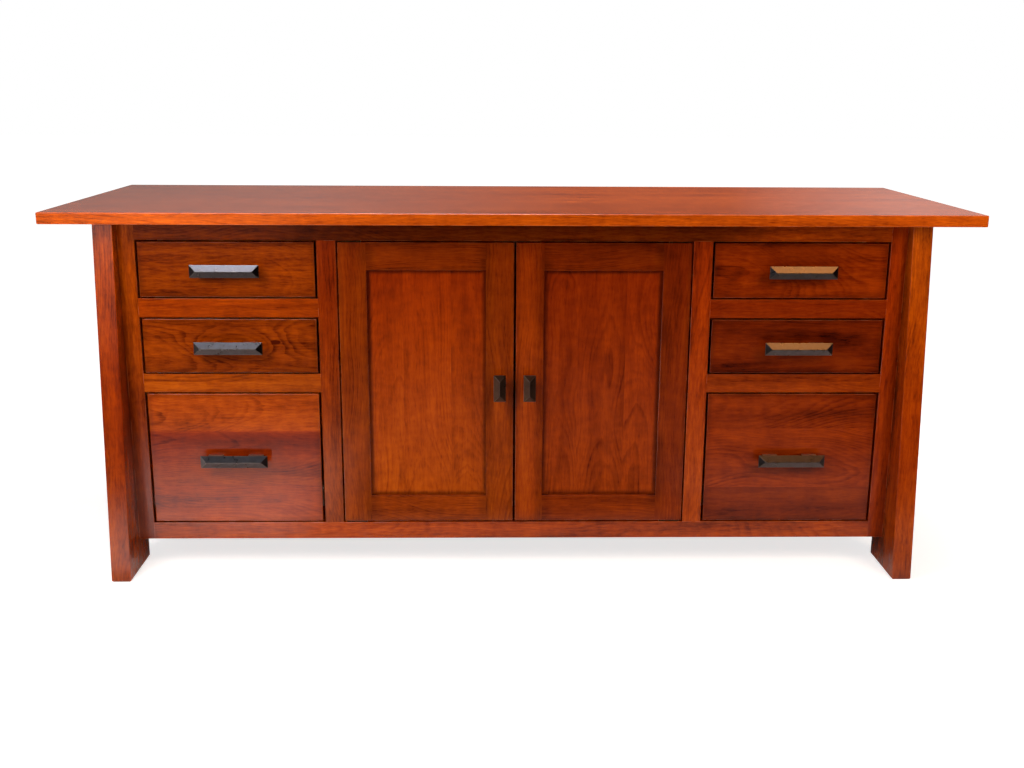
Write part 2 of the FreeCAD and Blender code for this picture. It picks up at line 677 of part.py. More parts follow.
def slide_pair(row, part, three_members):
    """The same member on both sides of a right-hand drawer."""
    web, edge, half, lip = slide_profile(part, three_members)
    z = slide_height(row)
    return [channel(MULLION_OUTER_X + web, MULLION_OUTER_X + edge, half, lip, z),
            channel(STILE_X - web, STILE_X - edge, half, lip, z)]


def make_case_slides():
    members = []
    for row in DRAWER_ROWS:
        for member in slide_pair(row, "case", three_members=row == "file"):
            members += [member, mirror_x(member)]
    return members


# ---------------------------------------------------------------- assembly

def build():
    """Every piece by the name of its file, each with its solids."""
    parts = {"top_slab": [make_top_slab()]}

    leg = make_front_right_leg()
    parts["front_leg_right"] = [leg]
    parts["front_leg_left"] = [mirror_x(leg)]
    parts["rear_leg_right"] = [mirror_y(leg)]
    parts["rear_leg_left"] = [mirror_x(mirror_y(leg))]

    parts.update(make_face_frame())

    stretchers = make_stretchers()
    bottom = make_bottom_panel()
    end = [make_right_end(bottom, stretchers)] + make_right_cleats()
    partition = make_right_partition(stretchers)
    parts["case_end_right"] = end
    parts["case_end_left"] = [mirror_x(s) for s in end]
    parts["partition_right"] = [partition]
    parts["partition_left"] = [mirror_x(partition)]
    parts["case_bottom"] = [bottom.cut([partition, mirror_x(partition)])]
    parts["case_back"] = [make_back_panel()]
    parts["top_stretchers"] = stretchers
    parts["shelf"] = make_shelf()
    parts["shelf_pins"] = make_shelf_pins()
    parts["door_catch"] = make_door_catch()
    parts["frame_hinge_leaves"] = make_frame_leaves()
    parts["slide_case_members"] = make_case_slides()

    for name, solids in make_right_door().items():
        parts["right_" + name] = solids
        parts["left_" + name] = [mirror_x(s) for s in solids]

    for row in DRAWER_ROWS:
        for name, solids in make_drawer(row).items():
            parts["right_" + row + "_" + name] = solids
            parts["left_" + row + "_" + name] = [mirror_x(s) for s in solids]

    middle = slide_pair("file", "middle", three_members=True)
    parts["right_file_slide_middles"] = middle
    parts["left_file_slide_middles"] = [mirror_x(s) for s in middle]
    return parts


def save(parts):
    os.makedirs("parts", exist_ok=True)
    for name, solids in sorted(parts.items()):
        shape = solids[0] if len(solids) == 1 else Part.makeCompound(solids)
        found = len(shape.Solids)
        if found != len(solids) or not shape.isValid():
            print("check", name, "solids", found, "of", len(solids), "valid", shape.isValid())
        shape.exportStep(os.path.join("parts", name + ".step"))
    print(len(parts), "files,", sum(len(s) for s in parts.values()), "solids")


save(build())
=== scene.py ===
import bpy
from math import pi
from mathutils import Matrix, Vector


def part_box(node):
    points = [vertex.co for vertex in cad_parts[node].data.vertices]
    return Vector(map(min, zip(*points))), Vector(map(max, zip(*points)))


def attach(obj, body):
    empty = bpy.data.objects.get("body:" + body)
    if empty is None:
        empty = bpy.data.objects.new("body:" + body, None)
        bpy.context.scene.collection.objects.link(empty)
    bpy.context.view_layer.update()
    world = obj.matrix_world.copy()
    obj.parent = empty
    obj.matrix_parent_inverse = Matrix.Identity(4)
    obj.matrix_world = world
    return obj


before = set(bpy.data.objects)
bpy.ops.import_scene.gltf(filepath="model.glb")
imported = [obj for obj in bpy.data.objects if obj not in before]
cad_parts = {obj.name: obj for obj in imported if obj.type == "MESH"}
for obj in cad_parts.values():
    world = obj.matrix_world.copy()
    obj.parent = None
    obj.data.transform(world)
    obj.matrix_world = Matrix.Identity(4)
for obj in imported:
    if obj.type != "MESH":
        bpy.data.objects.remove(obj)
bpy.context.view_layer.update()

# Office credenza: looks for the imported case, doors, drawers and hardware, with the
# small fasteners. Metres, with the front towards -Y and the floor at z = 0.

MM = 0.001
SIDES = ((-1, "left"), (1, "right"))

# ------------------------------------------------ sizes the looks need

BAY_X = 580.25 * MM             # middle of a drawer bank
ROW_MIDDLES = {"top": 641 * MM, "middle": 484 * MM, "file": 243.5 * MM}
SLIDE_LEVELS = {"top": 634 * MM, "middle": 477 * MM, "file": 153 * MM}
DOOR_SIGHT_X = (59.25 * MM, 300.5 * MM)     # where a panel shows in its frame
DOOR_SIGHT_Z = (161 * MM, 640 * MM)
DOOR_PULL = (30.75 * MM, 400.5 * MM)        # middle of a door's pull
DOOR_BAR = (28 * MM, 12.5 * MM)             # half the length and half the height of a pull's bar
DRAWER_BAR = (69 * MM, 13 * MM)
BAR_HIP = 13 * MM               # length of the slope at each end of a bar
BAR_BACK_Y = -268.5 * MM
BOX_INNER_HALF_X = 156.05 * MM
BOX_INNER_HALF_Y = 213 * MM
BOX_MIDDLE_Y = -0.5 * MM
BOARD = 12 * MM                 # thickness of a drawer side
DOVETAIL_PITCH = 50 * MM
FACE_Y = -245.5 * MM            # front of the face frame
LEG_SLOPE = 54.5 / 739          # how the leading edge of a leg runs out towards the floor
ARRIS_WIDTH = 1.6 * MM
ARRIS_WEAR_AND_HIGHLIGHT = 0.5                # how much paler an arris is: stain worn off, and a painted highlight
NOWHERE = 9.0                   # a side put this far off has no arris

bpy.context.scene.view_settings.view_transform = "Standard"


# ------------------------------------------------ node helpers

def linear(code):
    """An sRGB hex colour as the linear RGBA that shader sockets take."""
    channels = [int(code[i:i + 2], 16) / 255 for i in (1, 3, 5)]
    return [c / 12.92 if c <= 0.04045 else ((c + 0.055) / 1.055) ** 2.4 for c in channels] + [1.0]


def node(tree, kind, inputs=None, **settings):
    """Add a node by its type, less the ShaderNode that most types start with.

    inputs maps a socket's name or number to a value, a node or an output.
    """
    made = tree.nodes.new(kind if kind.startswith("NodeGroup") else "ShaderNode" + kind)
    for name, value in settings.items():
        setattr(made, name, value)
    for key, value in (inputs or {}).items():
        if isinstance(value, bpy.types.Node):
            value = value.outputs[0]
        if isinstance(value, bpy.types.NodeSocket):
            tree.links.new(value, made.inputs[key])
        else:
            made.inputs[key].default_value = value
    return made


def new_group(name, given, made):
    """An empty group, as its tree and its inputs.

    given maps an input's name to its kind, or to its starting value if it is a number.
    """
    tree = bpy.data.node_groups.new(name, "ShaderNodeTree")
    for socket, value in given.items():
        kind = value if isinstance(value, str) else "Float"
        new = tree.interface.new_socket(socket, in_out="INPUT", socket_type="NodeSocket" + kind)
        if kind == "Float":
            new.default_value = value
    for socket, kind in made.items():
        tree.interface.new_socket(socket, in_out="OUTPUT", socket_type="NodeSocket" + kind)
    return tree, node(tree, "NodeGroupInput").outputs


def coordinate(tree, axis, space="Object"):
    """One coordinate of a point of the surface, or of what another space gives there."""
    coords = node(tree, "TexCoord").outputs[space]
    return node(tree, "SeparateXYZ", {0: coords}).outputs[axis]


def graded(tree, *steps, easing="LINEAR", space="Object"):
    """Strengths that change along an axis, multiplied together.

    A step is an axis, two places along it, and the strengths there, 0 and 1 unless given.
    """
    total = 1.0
    for axis, start, end, *strengths in steps:
        first, last = strengths or (0.0, 1.0)
        at = coordinate(tree, axis, space)
        step = node(tree, "MapRange", {0: at, 1: start, 2: end, 3: first, 4: last}, interpolation_type=easing)
        total = node(tree, "Math", {0: step, 1: total}, operation="MULTIPLY")
    return total


# ------------------------------------------------ wood

def make_wood_figure():
    """How a board is sawn from its tree.

    Point is in the board's own frame: X along the grain, Y across its face, Z through it.
    The rings are cylinders about a pith that leans and wanders, so a flat-sawn face gets
    arches, its ends get arcs, and every glued-up stave gets its own part of the tree.
    Value is 0 on the darkest line and 1 in the palest early wood.
    """
    tree, given = new_group("Wood figure", {
        "Point": "Vector", "Seed": 0.0, "Stave": 10.0, "Ring": 5 * MM, "Lean": 0.06, "Deep": 0.0,
        "Lines": 0.22, "Clouds": 0.5, "Streaks": 1.5, "Bands": 0.9, "Ripples": 0.3,
        "Knot": "Vector", "Knot size": 0.0,
    }, {"Value": "Float", "Fibre": "Float", "Stave tone": "Float"})
    along = node(tree, "SeparateXYZ", {0: given["Point"]}).outputs

    # which stave of the glue-up this is, and its own chance numbers
    stave = node(tree, "Math", {0: along["Y"], 1: given["Stave"]}, operation="DIVIDE")
    stave = node(tree, "Math", {0: stave}, operation="ROUND")
    key = node(tree, "Math", {0: stave, 1: 7.31, 2: given["Seed"]}, operation="MULTIPLY_ADD")
    chance = node(tree, "TexWhiteNoise", {"W": key}, noise_dimensions="1D")
    chance = node(tree, "SeparateColor", {0: chance.outputs["Color"]}).outputs
    middle = node(tree, "Math", {0: stave, 1: given["Stave"]}, operation="MULTIPLY")
    across = node(tree, "Math", {0: along["Y"], 1: middle}, operation="SUBTRACT")

    # the pith wanders slowly along the board
    far = node(tree, "Math", {0: key, 1: 3.7, 2: along["X"]}, operation="MULTIPLY_ADD")
    wander = node(tree, "TexNoise", {"W": far, "Scale": 2.2, "Detail": 1.0}, noise_dimensions="1D")
    wander = node(tree, "SeparateColor", {0: wander.outputs["Color"]}).outputs
    pith = node(tree, "Math", {0: chance["Red"], 1: 0.09, 2: -0.095}, operation="MULTIPLY_ADD")
    pith = node(tree, "Math", {0: wander["Red"], 1: 0.10, 2: pith}, operation="MULTIPLY_ADD")
    ring_y = node(tree, "Math", {0: across, 1: pith}, operation="SUBTRACT")
    depth = node(tree, "Math", {0: chance["Green"], 1: 0.06, 2: 0.02}, operation="MULTIPLY_ADD")
    depth = node(tree, "Math", {0: depth, 1: given["Deep"]}, operation="ADD")
    lean = node(tree, "Math", {0: along["X"], 1: given["Lean"], 2: depth}, operation="MULTIPLY_ADD")
    lean = node(tree, "Math", {0: wander["Green"], 1: 0.05, 2: lean}, operation="MULTIPLY_ADD")
    ring_z = node(tree, "Math", {0: along["Z"], 1: lean}, operation="ADD")
    from_pith = node(tree, "CombineXYZ", {"Y": ring_y, "Z": ring_z})
    radius = node(tree, "VectorMath", {0: from_pith}, operation="LENGTH").outputs["Value"]

    # what varies through the tree, by how many times in a metre of grain and across it
    placed = node(tree, "CombineXYZ", {"X": far, "Y": across, "Z": along["Z"]})
    noise = {}
    for part, length, width, detail, roughness in (
            ("Waves", 3.5, 26, 3, 0.5),         # small waves in the rings
            ("Patches", 7, 16, 2, 0.5),         # where their lines come and go along a board
            ("Streaks", 24, 240, 5, 0.8),       # fibres 1 to 4 mm wide: coarser than real, to show
            ("Ripples", 60, 32, 2, 0.5),        # across the grain, 10 to 20 mm long
            ("Bands", 2.2, 34, 2, 0.5),         # of colour, 20 to 60 mm wide
            ("Clouds", 9, 22, 3, 0.55),         # blotches where the stain soaked in unevenly
            ("Pores", 70, 900, 1, 0.5)):        # dark dashes about 14 mm long and 1 mm wide
        spread = node(tree, "VectorMath", {0: placed, 1: (length, width, width)}, operation="MULTIPLY")
        noise[part] = node(tree, "TexNoise", {
            "Vector": spread, "Scale": 1.0, "Detail": detail, "Roughness": roughness})
    radius = node(tree, "Math", {0: noise["Waves"], 1: 0.011, 2: radius}, operation="MULTIPLY_ADD")

    # rings swell round a knot, and its heart, a little along the grain, is nearly black
    off = node(tree, "VectorMath", {0: given["Point"], 1: given["Knot"]}, operation="SUBTRACT")
    wide = node(tree, "VectorMath", {0: off, 1: (11.0, 30.0, 2.0)}, operation="MULTIPLY")
    wide = node(tree, "VectorMath", {0: wide, 1: wide}, operation="DOT_PRODUCT").outputs["Value"]
    swell = node(tree, "Math", {0: wide, 1: -1.0}, operation="MULTIPLY")
    swell = node(tree, "Math", {0: swell}, operation="EXPONENT")
    radius = node(tree, "Math", {0: swell, 1: given["Knot size"], 2: radius}, operation="MULTIPLY_ADD")
    heart = node(tree, "VectorMath", {0: off, 1: (0.092, 0.004, 0.0)}, operation="SUBTRACT")
    heart = node(tree, "VectorMath", {0: heart, 1: (1.0, 2.4, 0.0)}, operation="MULTIPLY")
    heart = node(tree, "VectorMath", {0: heart}, operation="LENGTH").outputs["Value"]
    heart = node(tree, "MapRange", {0: heart, 1: 5 * MM, 2: 12 * MM, 3: 1.0, 4: 0.0})
    heart = node(tree, "Math", {0: heart, 1: given["Knot size"]}, operation="MULTIPLY")

    # years of uneven width, each with its own strength of late wood
    turns = node(tree, "Math", {0: radius, 1: given["Ring"]}, operation="DIVIDE")
    uneven = node(tree, "TexNoise", {"W": turns, "Scale": 0.35, "Detail": 1.0}, noise_dimensions="1D")
    turns = node(tree, "Math", {0: uneven, 1: 1.6, 2: turns}, operation="MULTIPLY_ADD")
    year = node(tree, "Math", {0: turns}, operation="FLOOR")
    season = node(tree, "Math", {0: turns}, operation="FRACT")
    late = node(tree, "MapRange", {0: season, 1: 0.25, 2: 0.9}, interpolation_type="SMOOTHERSTEP")
    fade = node(tree, "MapRange", {0: season, 1: 0.9, 2: 1.0, 3: 1.0, 4: 0.0})
    strong = node(tree, "TexWhiteNoise", {"W": year}, noise_dimensions="1D").outputs["Value"]
    strong = node(tree, "MapRange", {0: strong, 3: 0.25, 4: 1.0})
    patchy = node(tree, "MapRange", {0: noise["Patches"], 1: 0.38, 2: 0.62, 3: 0.25, 4: 1.0})
    for part in (fade, strong, patchy, given["Lines"]):
        late = node(tree, "Math", {0: late, 1: part}, operation="MULTIPLY")

    # all of it laid over an even early wood
    value = 0.54
    for part in ("Bands", "Ripples", "Clouds", "Streaks"):
        about = node(tree, "Math", {0: noise[part], 1: 0.5}, operation="SUBTRACT")
        value = node(tree, "Math", {0: about, 1: given[part], 2: value}, operation="MULTIPLY_ADD")
    value = node(tree, "Math", {0: value, 1: late}, operation="SUBTRACT")
    pores = node(tree, "MapRange", {0: noise["Pores"], 1: 0.58, 2: 0.75})
    value = node(tree, "Math", {0: pores, 1: -0.22, 2: value}, operation="MULTIPLY_ADD")
    value = node(tree, "Math", {0: heart, 1: -32.0, 2: value}, operation="MULTIPLY_ADD")
    fibre = node(tree, "Math", {0: pores, 1: -0.8, 2: noise["Streaks"]}, operation="MULTIPLY_ADD")
    node(tree, "NodeGroupOutput", {"Value": value, "Fibre": fibre, "Stave tone": chance["Blue"]})
    return tree


def make_stain():
    """Three colours laid over a figure, with darker end grain, arrises paler from wear and a painted highlight,
    darker corners, and a Tone that mostly paints light and shade.
    """
    tree, given = new_group("Stain", {
        "Value": 0.5, "Stave tone": 0.5, "Stave spread": 0.2, "Dark": "Color", "Body": "Color", "Pale": "Color",
        "End grain": 0.0, "Arris": 0.0, "Corner": 0.0, "Tone": 1.0, "Warmth": 1.0,
    }, {"Color": "Color"})
    low = node(tree, "MapRange", {0: given["Value"], 1: 0.0, 2: 0.5})
    high = node(tree, "MapRange", {0: given["Value"], 1: 0.5, 2: 1.0})
    color = node(tree, "Mix", {0: low, 6: given["Dark"], 7: given["Body"]}, data_type="RGBA").outputs[2]
    color = node(tree, "Mix", {0: high, 6: color, 7: given["Pale"]}, data_type="RGBA").outputs[2]
    shade = node(tree, "Math", {0: given["Stave tone"], 1: 0.5}, operation="SUBTRACT")
    shade = node(tree, "Math", {0: shade, 1: given["Stave spread"], 2: given["Tone"]}, operation="MULTIPLY_ADD")
    # darker end grain; the Corner darkening is painted shade on the legs' inner sides, and partly painted shade
    # round the panels
    for part, strength in (("End grain", -0.42), ("Corner", -0.55)):
        darker = node(tree, "Math", {0: given[part], 1: strength, 2: 1.0}, operation="MULTIPLY_ADD")
        shade = node(tree, "Math", {0: shade, 1: darker}, operation="MULTIPLY")
    color = node(tree, "VectorMath", {0: color, "Scale": shade}, operation="SCALE")
    # Tone, mostly painted light and shade, makes lighter places yellower and darker ones redder
    warm = node(tree, "Math", {0: given["Tone"], 1: given["Warmth"]}, operation="POWER")
    warm = node(tree, "CombineXYZ", {"X": 1.0, "Y": warm, "Z": 1.0})
    color = node(tree, "VectorMath", {0: color, 1: warm}, operation="MULTIPLY")
    # arrises paler: stain worn off, and a painted highlight along them
    color = node(tree, "Mix", {0: given["Arris"], 6: color, 7: given["Pale"]}, data_type="RGBA").outputs[2]
    node(tree, "NodeGroupOutput", {"Color": color})
    return tree


def make_arris():
    """How near a point of a square-edged board is to one of the board's edges, from its corners."""
    tree, given = new_group("Arris", {"Point": "Vector", "Low": "Vector", "High": "Vector"},
                            {"Edge": "Float", "Side": "Float"})
    low = node(tree, "VectorMath", {0: given["Point"], 1: given["Low"]}, operation="SUBTRACT")
    high = node(tree, "VectorMath", {0: given["High"], 1: given["Point"]}, operation="SUBTRACT")
    near = node(tree, "VectorMath", {0: low, 1: high}, operation="MINIMUM")
    near = node(tree, "SeparateXYZ", {0: near}).outputs
    less = node(tree, "Math", {0: near["X"], 1: near["Y"]}, operation="MINIMUM")
    more = node(tree, "Math", {0: near["X"], 1: near["Y"]}, operation="MAXIMUM")
    more = node(tree, "Math", {0: more, 1: near["Z"]}, operation="MINIMUM")
    second = node(tree, "Math", {0: less, 1: more}, operation="MAXIMUM")
    # patches where the paler arris, worn and painted as a highlight, breaks off
    edge_breaks = node(tree, "TexNoise", {"Vector": given["Point"], "Scale": 26.0, "Detail": 2.0})
    edge_breaks = node(tree, "MapRange", {0: edge_breaks, 1: 0.35, 2: 0.65, 3: 0.1, 4: 1.0})
    edge = node(tree, "Math", {0: second, 1: ARRIS_WIDTH}, operation="DIVIDE")
    edge = node(tree, "MapRange", {0: edge, 1: 0.4, 2: 1.0, 3: 1.0, 4: 0.0}, interpolation_type="SMOOTHSTEP")
    edge = node(tree, "Math", {0: edge, 1: edge_breaks}, operation="MULTIPLY")
    side = node(tree, "Math", {0: near["X"], 1: near["Z"]}, operation="MINIMUM")
    node(tree, "NodeGroupOutput", {"Edge": edge, "Side": side})
    return tree


WOOD_FIGURE = make_wood_figure()
STAIN = make_stain()
ARRIS = make_arris()

# Rows of the turn that takes the object's axes to a board's frame: along, across, through
ACROSS_FRONT = ((1, 0, 0), (0, 0, 1), (0, -1, 0))
LYING = ((1, 0, 0), (0, 1, 0), (0, 0, 1))
UPRIGHT_FRONT = ((0, 0, 1), (1, 0, 0), (0, 1, 0))
UPRIGHT_END = ((0, 0, 1), (0, 1, 0), (-1, 0, 0))
BACKWARDS = ((0, 1, 0), (0, 0, 1), (1, 0, 0))

# How the darkest lines and the palest early wood differ from a board's own colour
STAIN_DEPTH = ((0.26, 0.18, 0.3), (1.75, 2.2, 1.7))
BARE_DEPTH = ((0.62, 0.55, 0.42), (1.2, 1.25, 1.4))


def shades(body, depth):
    """The darkest line, the body and the palest wood of a board, from its body colour."""
    body = linear(body)
    dark, pale = ([min(1.0, c * d) for c, d in zip(body, by)] + [1.0] for by in depth)
    return dark, body, pale


def figure(tree, grain, centre, seed, ring=5.0, knot=None, **more):
    """The figure of one board or glue-up about its middle. Ring is a year's width in millimetres."""
    turn = Matrix(grain)
    place = node(tree, "TexCoord").outputs["Object"]
    place = node(tree, "Mapping", {
        "Vector": place, "Location": -(turn @ Vector(centre)), "Rotation": turn.to_euler()})
    inputs = {"Point": place, "Seed": seed, "Ring": ring * MM}
    inputs.update({key.capitalize(): value for key, value in more.items()})
    if knot:
        inputs.update({"Knot": (knot[0], knot[1], 0.0), "Knot size": knot[2]})
    return node(tree, "Group", inputs, node_tree=WOOD_FIGURE)


def stained(tree, board, body, grain, spread, depth=STAIN_DEPTH, **more):
    """The stained colour of a figure, darker where a face cuts across the grain."""
    normal = node(tree, "TexCoord").outputs["Normal"]
    facing = node(tree, "VectorMath", {0: normal, 1: grain[0]}, operation="DOT_PRODUCT").outputs["Value"]
    facing = node(tree, "Math", {0: facing}, operation="ABSOLUTE")
    dark, body, pale = shades(body, depth)
    inputs = {
        "Value": board.outputs["Value"], "Stave tone": board.outputs["Stave tone"], "Stave spread": spread,
        "Dark": dark, "Body": body, "Pale": pale,
        "End grain": node(tree, "MapRange", {0: facing, 1: 0.8, 2: 0.97})}
    inputs.update({key.capitalize(): value for key, value in more.items()})
    return node(tree, "Group", inputs, node_tree=STAIN)


def finish(tree, color, rough, relief, strength, depth, **more):
    """Close a material with a bump of its relief. The bump's depth is in millimetres."""
    bump = node(tree, "Bump", {"Height": relief, "Strength": strength, "Distance": depth * MM})
    shader = node(tree, "BsdfPrincipled", {"Base Color": color, "Roughness": rough, "Normal": bump, **more})
    node(tree, "OutputMaterial", {"Surface": shader})


def lacquer(tree, color, fibre, gloss=0.1, edge=None):
    """Close the material with a rubbed lacquer, duller in the fibres and where edges are worn."""
    rough = node(tree, "MapRange", {0: fibre, 1: 0.3, 2: 0.7, 3: gloss + 0.08, 4: gloss})
    if edge is not None:
        rough = node(tree, "Math", {0: edge, 1: 0.5, 2: rough}, operation="MULTIPLY_ADD")
    finish(tree, color, rough, fibre, 0.06, 0.15, IOR=1.5)


def empty_material(name):
    """A new material and its tree, with no nodes in it."""
    material = bpy.data.materials.new(name.replace("_", " "))
    material.use_nodes = True
    material.node_tree.nodes.clear()
    return material, material.node_tree


def middle_of(name):
    low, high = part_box(name)
    return (low + high) / 2


def board_edges(tree, low, high, slope=0.0):
    """The edges of a board between two corners, paled by wear and a painted highlight. A slope leans its front
    face with the height.
    """
    place = node(tree, "TexCoord").outputs["Object"]
    if slope:
        push = node(tree, "Math", {0: coordinate(tree, "Z"), 1: slope}, operation="MULTIPLY")
        push = node(tree, "CombineXYZ", {"Y": push})
        place = node(tree, "VectorMath", {0: place, 1: push}, operation="ADD")
    return node(tree, "Group", {"Point": place, "Low": low, "High": high}, node_tree=ARRIS).outputs


def uneven_darkening(tree, distance, strength, width):
    """An uneven darkening along an edge, from the distance to it. The width is in millimetres."""
    place = node(tree, "TexCoord").outputs["Object"]
    uneven = node(tree, "TexNoise", {"Vector": place, "Scale": 11.0, "Detail": 3.0})
    uneven = node(tree, "MapRange", {0: uneven, 1: 0.35, 2: 0.65, 3: 0.25, 4: 1.0})
    closeness = node(tree, "MapRange", {0: distance, 1: 0.0, 2: width * MM, 3: strength, 4: 0.0},
                 interpolation_type="SMOOTHSTEP")
    return node(tree, "Math", {0: closeness, 1: uneven}, operation="MULTIPLY")


def cherry_board(name, body, grain, seed, spread=0.2, gloss=0.1, slope=0.0, smoke=None, fade=(),
                 warmth=1.0, inside=0, **more):
    """Solid cherry, stained red-brown and lacquered: glossy, with arches, fine lines and pores."""
    material, tree = empty_material("Stained cherry " + name)
    low, high = (corner.copy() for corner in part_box(name))
    if slope > 0:
        high.y = NOWHERE
    elif slope < 0:
        low.y = -NOWHERE
    board = figure(tree, grain, middle_of(name), seed, **more)
    edges = board_edges(tree, low, high, slope)
    edge = node(tree, "Math", {0: edges["Edge"], 1: ARRIS_WEAR_AND_HIGHLIGHT}, operation="MULTIPLY")
    corner = uneven_darkening(tree, edges["Side"], *smoke) if smoke else 0.0
    if inside:
        # painted shade on the inner side of a leg where it meets the stile
        behind = node(tree, "Math", {0: coordinate(tree, "Y"), 1: -1.0, 2: FACE_Y}, operation="MULTIPLY_ADD")
        facing = coordinate(tree, "X", "Normal")
        facing = node(tree, "Math", {0: facing, 1: inside, 2: 0.5}, operation="COMPARE")
        corner = node(tree, "Math", {0: uneven_darkening(tree, behind, 1.2, 40), 1: facing}, operation="MULTIPLY")
    color = stained(tree, board, body, grain, spread, arris=edge, corner=corner, tone=graded(tree, *fade),
                    warmth=warmth)
    lacquer(tree, color, board.outputs["Fibre"], gloss, edge)
    return material


def cherry_door_frame(side, name, body):
    """Stiles with upright grain and rails with level grain, in one material."""
    material, tree = empty_material("Stained cherry " + name)
    half = (DOOR_SIGHT_X[1] - DOOR_SIGHT_X[0]) / 2
    off = node(tree, "Math", {0: coordinate(tree, "X")}, operation="ABSOLUTE")
    off = node(tree, "Math", {0: off, 1: DOOR_SIGHT_X[0] + half}, operation="SUBTRACT")
    off = node(tree, "Math", {0: off}, operation="ABSOLUTE")
    is_rail = node(tree, "Math", {0: off, 1: half}, operation="LESS_THAN")
    # staves 0.2 m wide put the two stiles in different boards, and 0.4 m the two rails
    centre = middle_of(name)
    stile = figure(tree, UPRIGHT_FRONT, centre, 31.0 + side, lines=0.26, lean=0.03, stave=0.2, streaks=1.0)
    rail = figure(tree, ACROSS_FRONT, centre, 36.0 + side, ring=4.5, lines=0.3, lean=0.05, stave=0.4,
                  streaks=1.0)
    edges = board_edges(tree, *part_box(name))
    edge = node(tree, "Math", {0: edges["Edge"], 1: ARRIS_WEAR_AND_HIGHLIGHT}, operation="MULTIPLY")
    # brown stain collected in the joints of the frame, and darker along its outer edges
    joint = node(tree, "Math", {0: off, 1: half}, operation="SUBTRACT")
    joint = node(tree, "Math", {0: joint}, operation="ABSOLUTE")
    smoke = node(tree, "Math", {
        0: uneven_darkening(tree, joint, 0.75, 26), 1: uneven_darkening(tree, edges["Side"], 0.6, 14)}, operation="MAXIMUM")
    # both are painted darker towards the top and lighter towards the foot: painted shade and light
    heights = ("Z", DOOR_SIGHT_Z[0], DOOR_SIGHT_Z[1] + 0.05)
    stile_fade = [(*heights, 1.2, 0.78)]
    if side > 0:
        # its hinge stile is darker than the one with the pull
        stile_fade.append(("X", 0.06, 0.3, 1.1, 0.84))
    stile_color = stained(tree, stile, body, UPRIGHT_FRONT, 0.3, arris=edge, corner=smoke,
                          tone=graded(tree, *stile_fade), warmth=0.5)
    rail_color = stained(tree, rail, body, ACROSS_FRONT, 0.3, arris=edge, corner=smoke,
                         tone=graded(tree, (*heights, 1.2, 0.68)), warmth=0.3)
    color = node(tree, "Mix", {0: is_rail, 6: stile_color, 7: rail_color}, data_type="RGBA").outputs[2]
    fibre = node(tree, "Mix", {0: is_rail, 2: stile.outputs["Fibre"], 3: rail.outputs["Fibre"]})
    lacquer(tree, color, fibre, edge=edge)
    return material


def cherry_panel(side, name, body):
    """A flat panel glued up from three staves, with collected stain and painted shade where it meets its frame,
    and painted light that makes it paler towards its foot.
    """
    material, tree = empty_material("Stained cherry " + name)
    board = figure(tree, UPRIGHT_FRONT, middle_of(name), 4.0 + 3 * side, ring=4.5, stave=0.098, lines=0.28,
                   lean=0.07, streaks=0.7, clouds=0.35, bands=0.6, ripples=0.38)
    x0, x1 = sorted(side * x for x in DOOR_SIGHT_X)
    # collected stain and painted shade along the sight edges, where the panel meets its frame
    sight = board_edges(tree, (x0, -1.0, DOOR_SIGHT_Z[0]), (x1, 1.0, DOOR_SIGHT_Z[1]))
    corner = node(tree, "MapRange", {0: sight["Side"], 1: 0.0, 2: 11 * MM, 3: 1.0, 4: 0.0},
                  interpolation_type="SMOOTHSTEP")
    # painted light and shade: paler towards the foot, darker towards the top
    tone = graded(tree, ("Z", *DOOR_SIGHT_Z, 1.28 - 0.05 * side, 0.8 + 0.05 * side))
    color = stained(tree, board, body, UPRIGHT_FRONT, 0.16, corner=corner, tone=tone)
    lacquer(tree, color, board.outputs["Fibre"])
    return material


MAPLE = "#cfab7a"


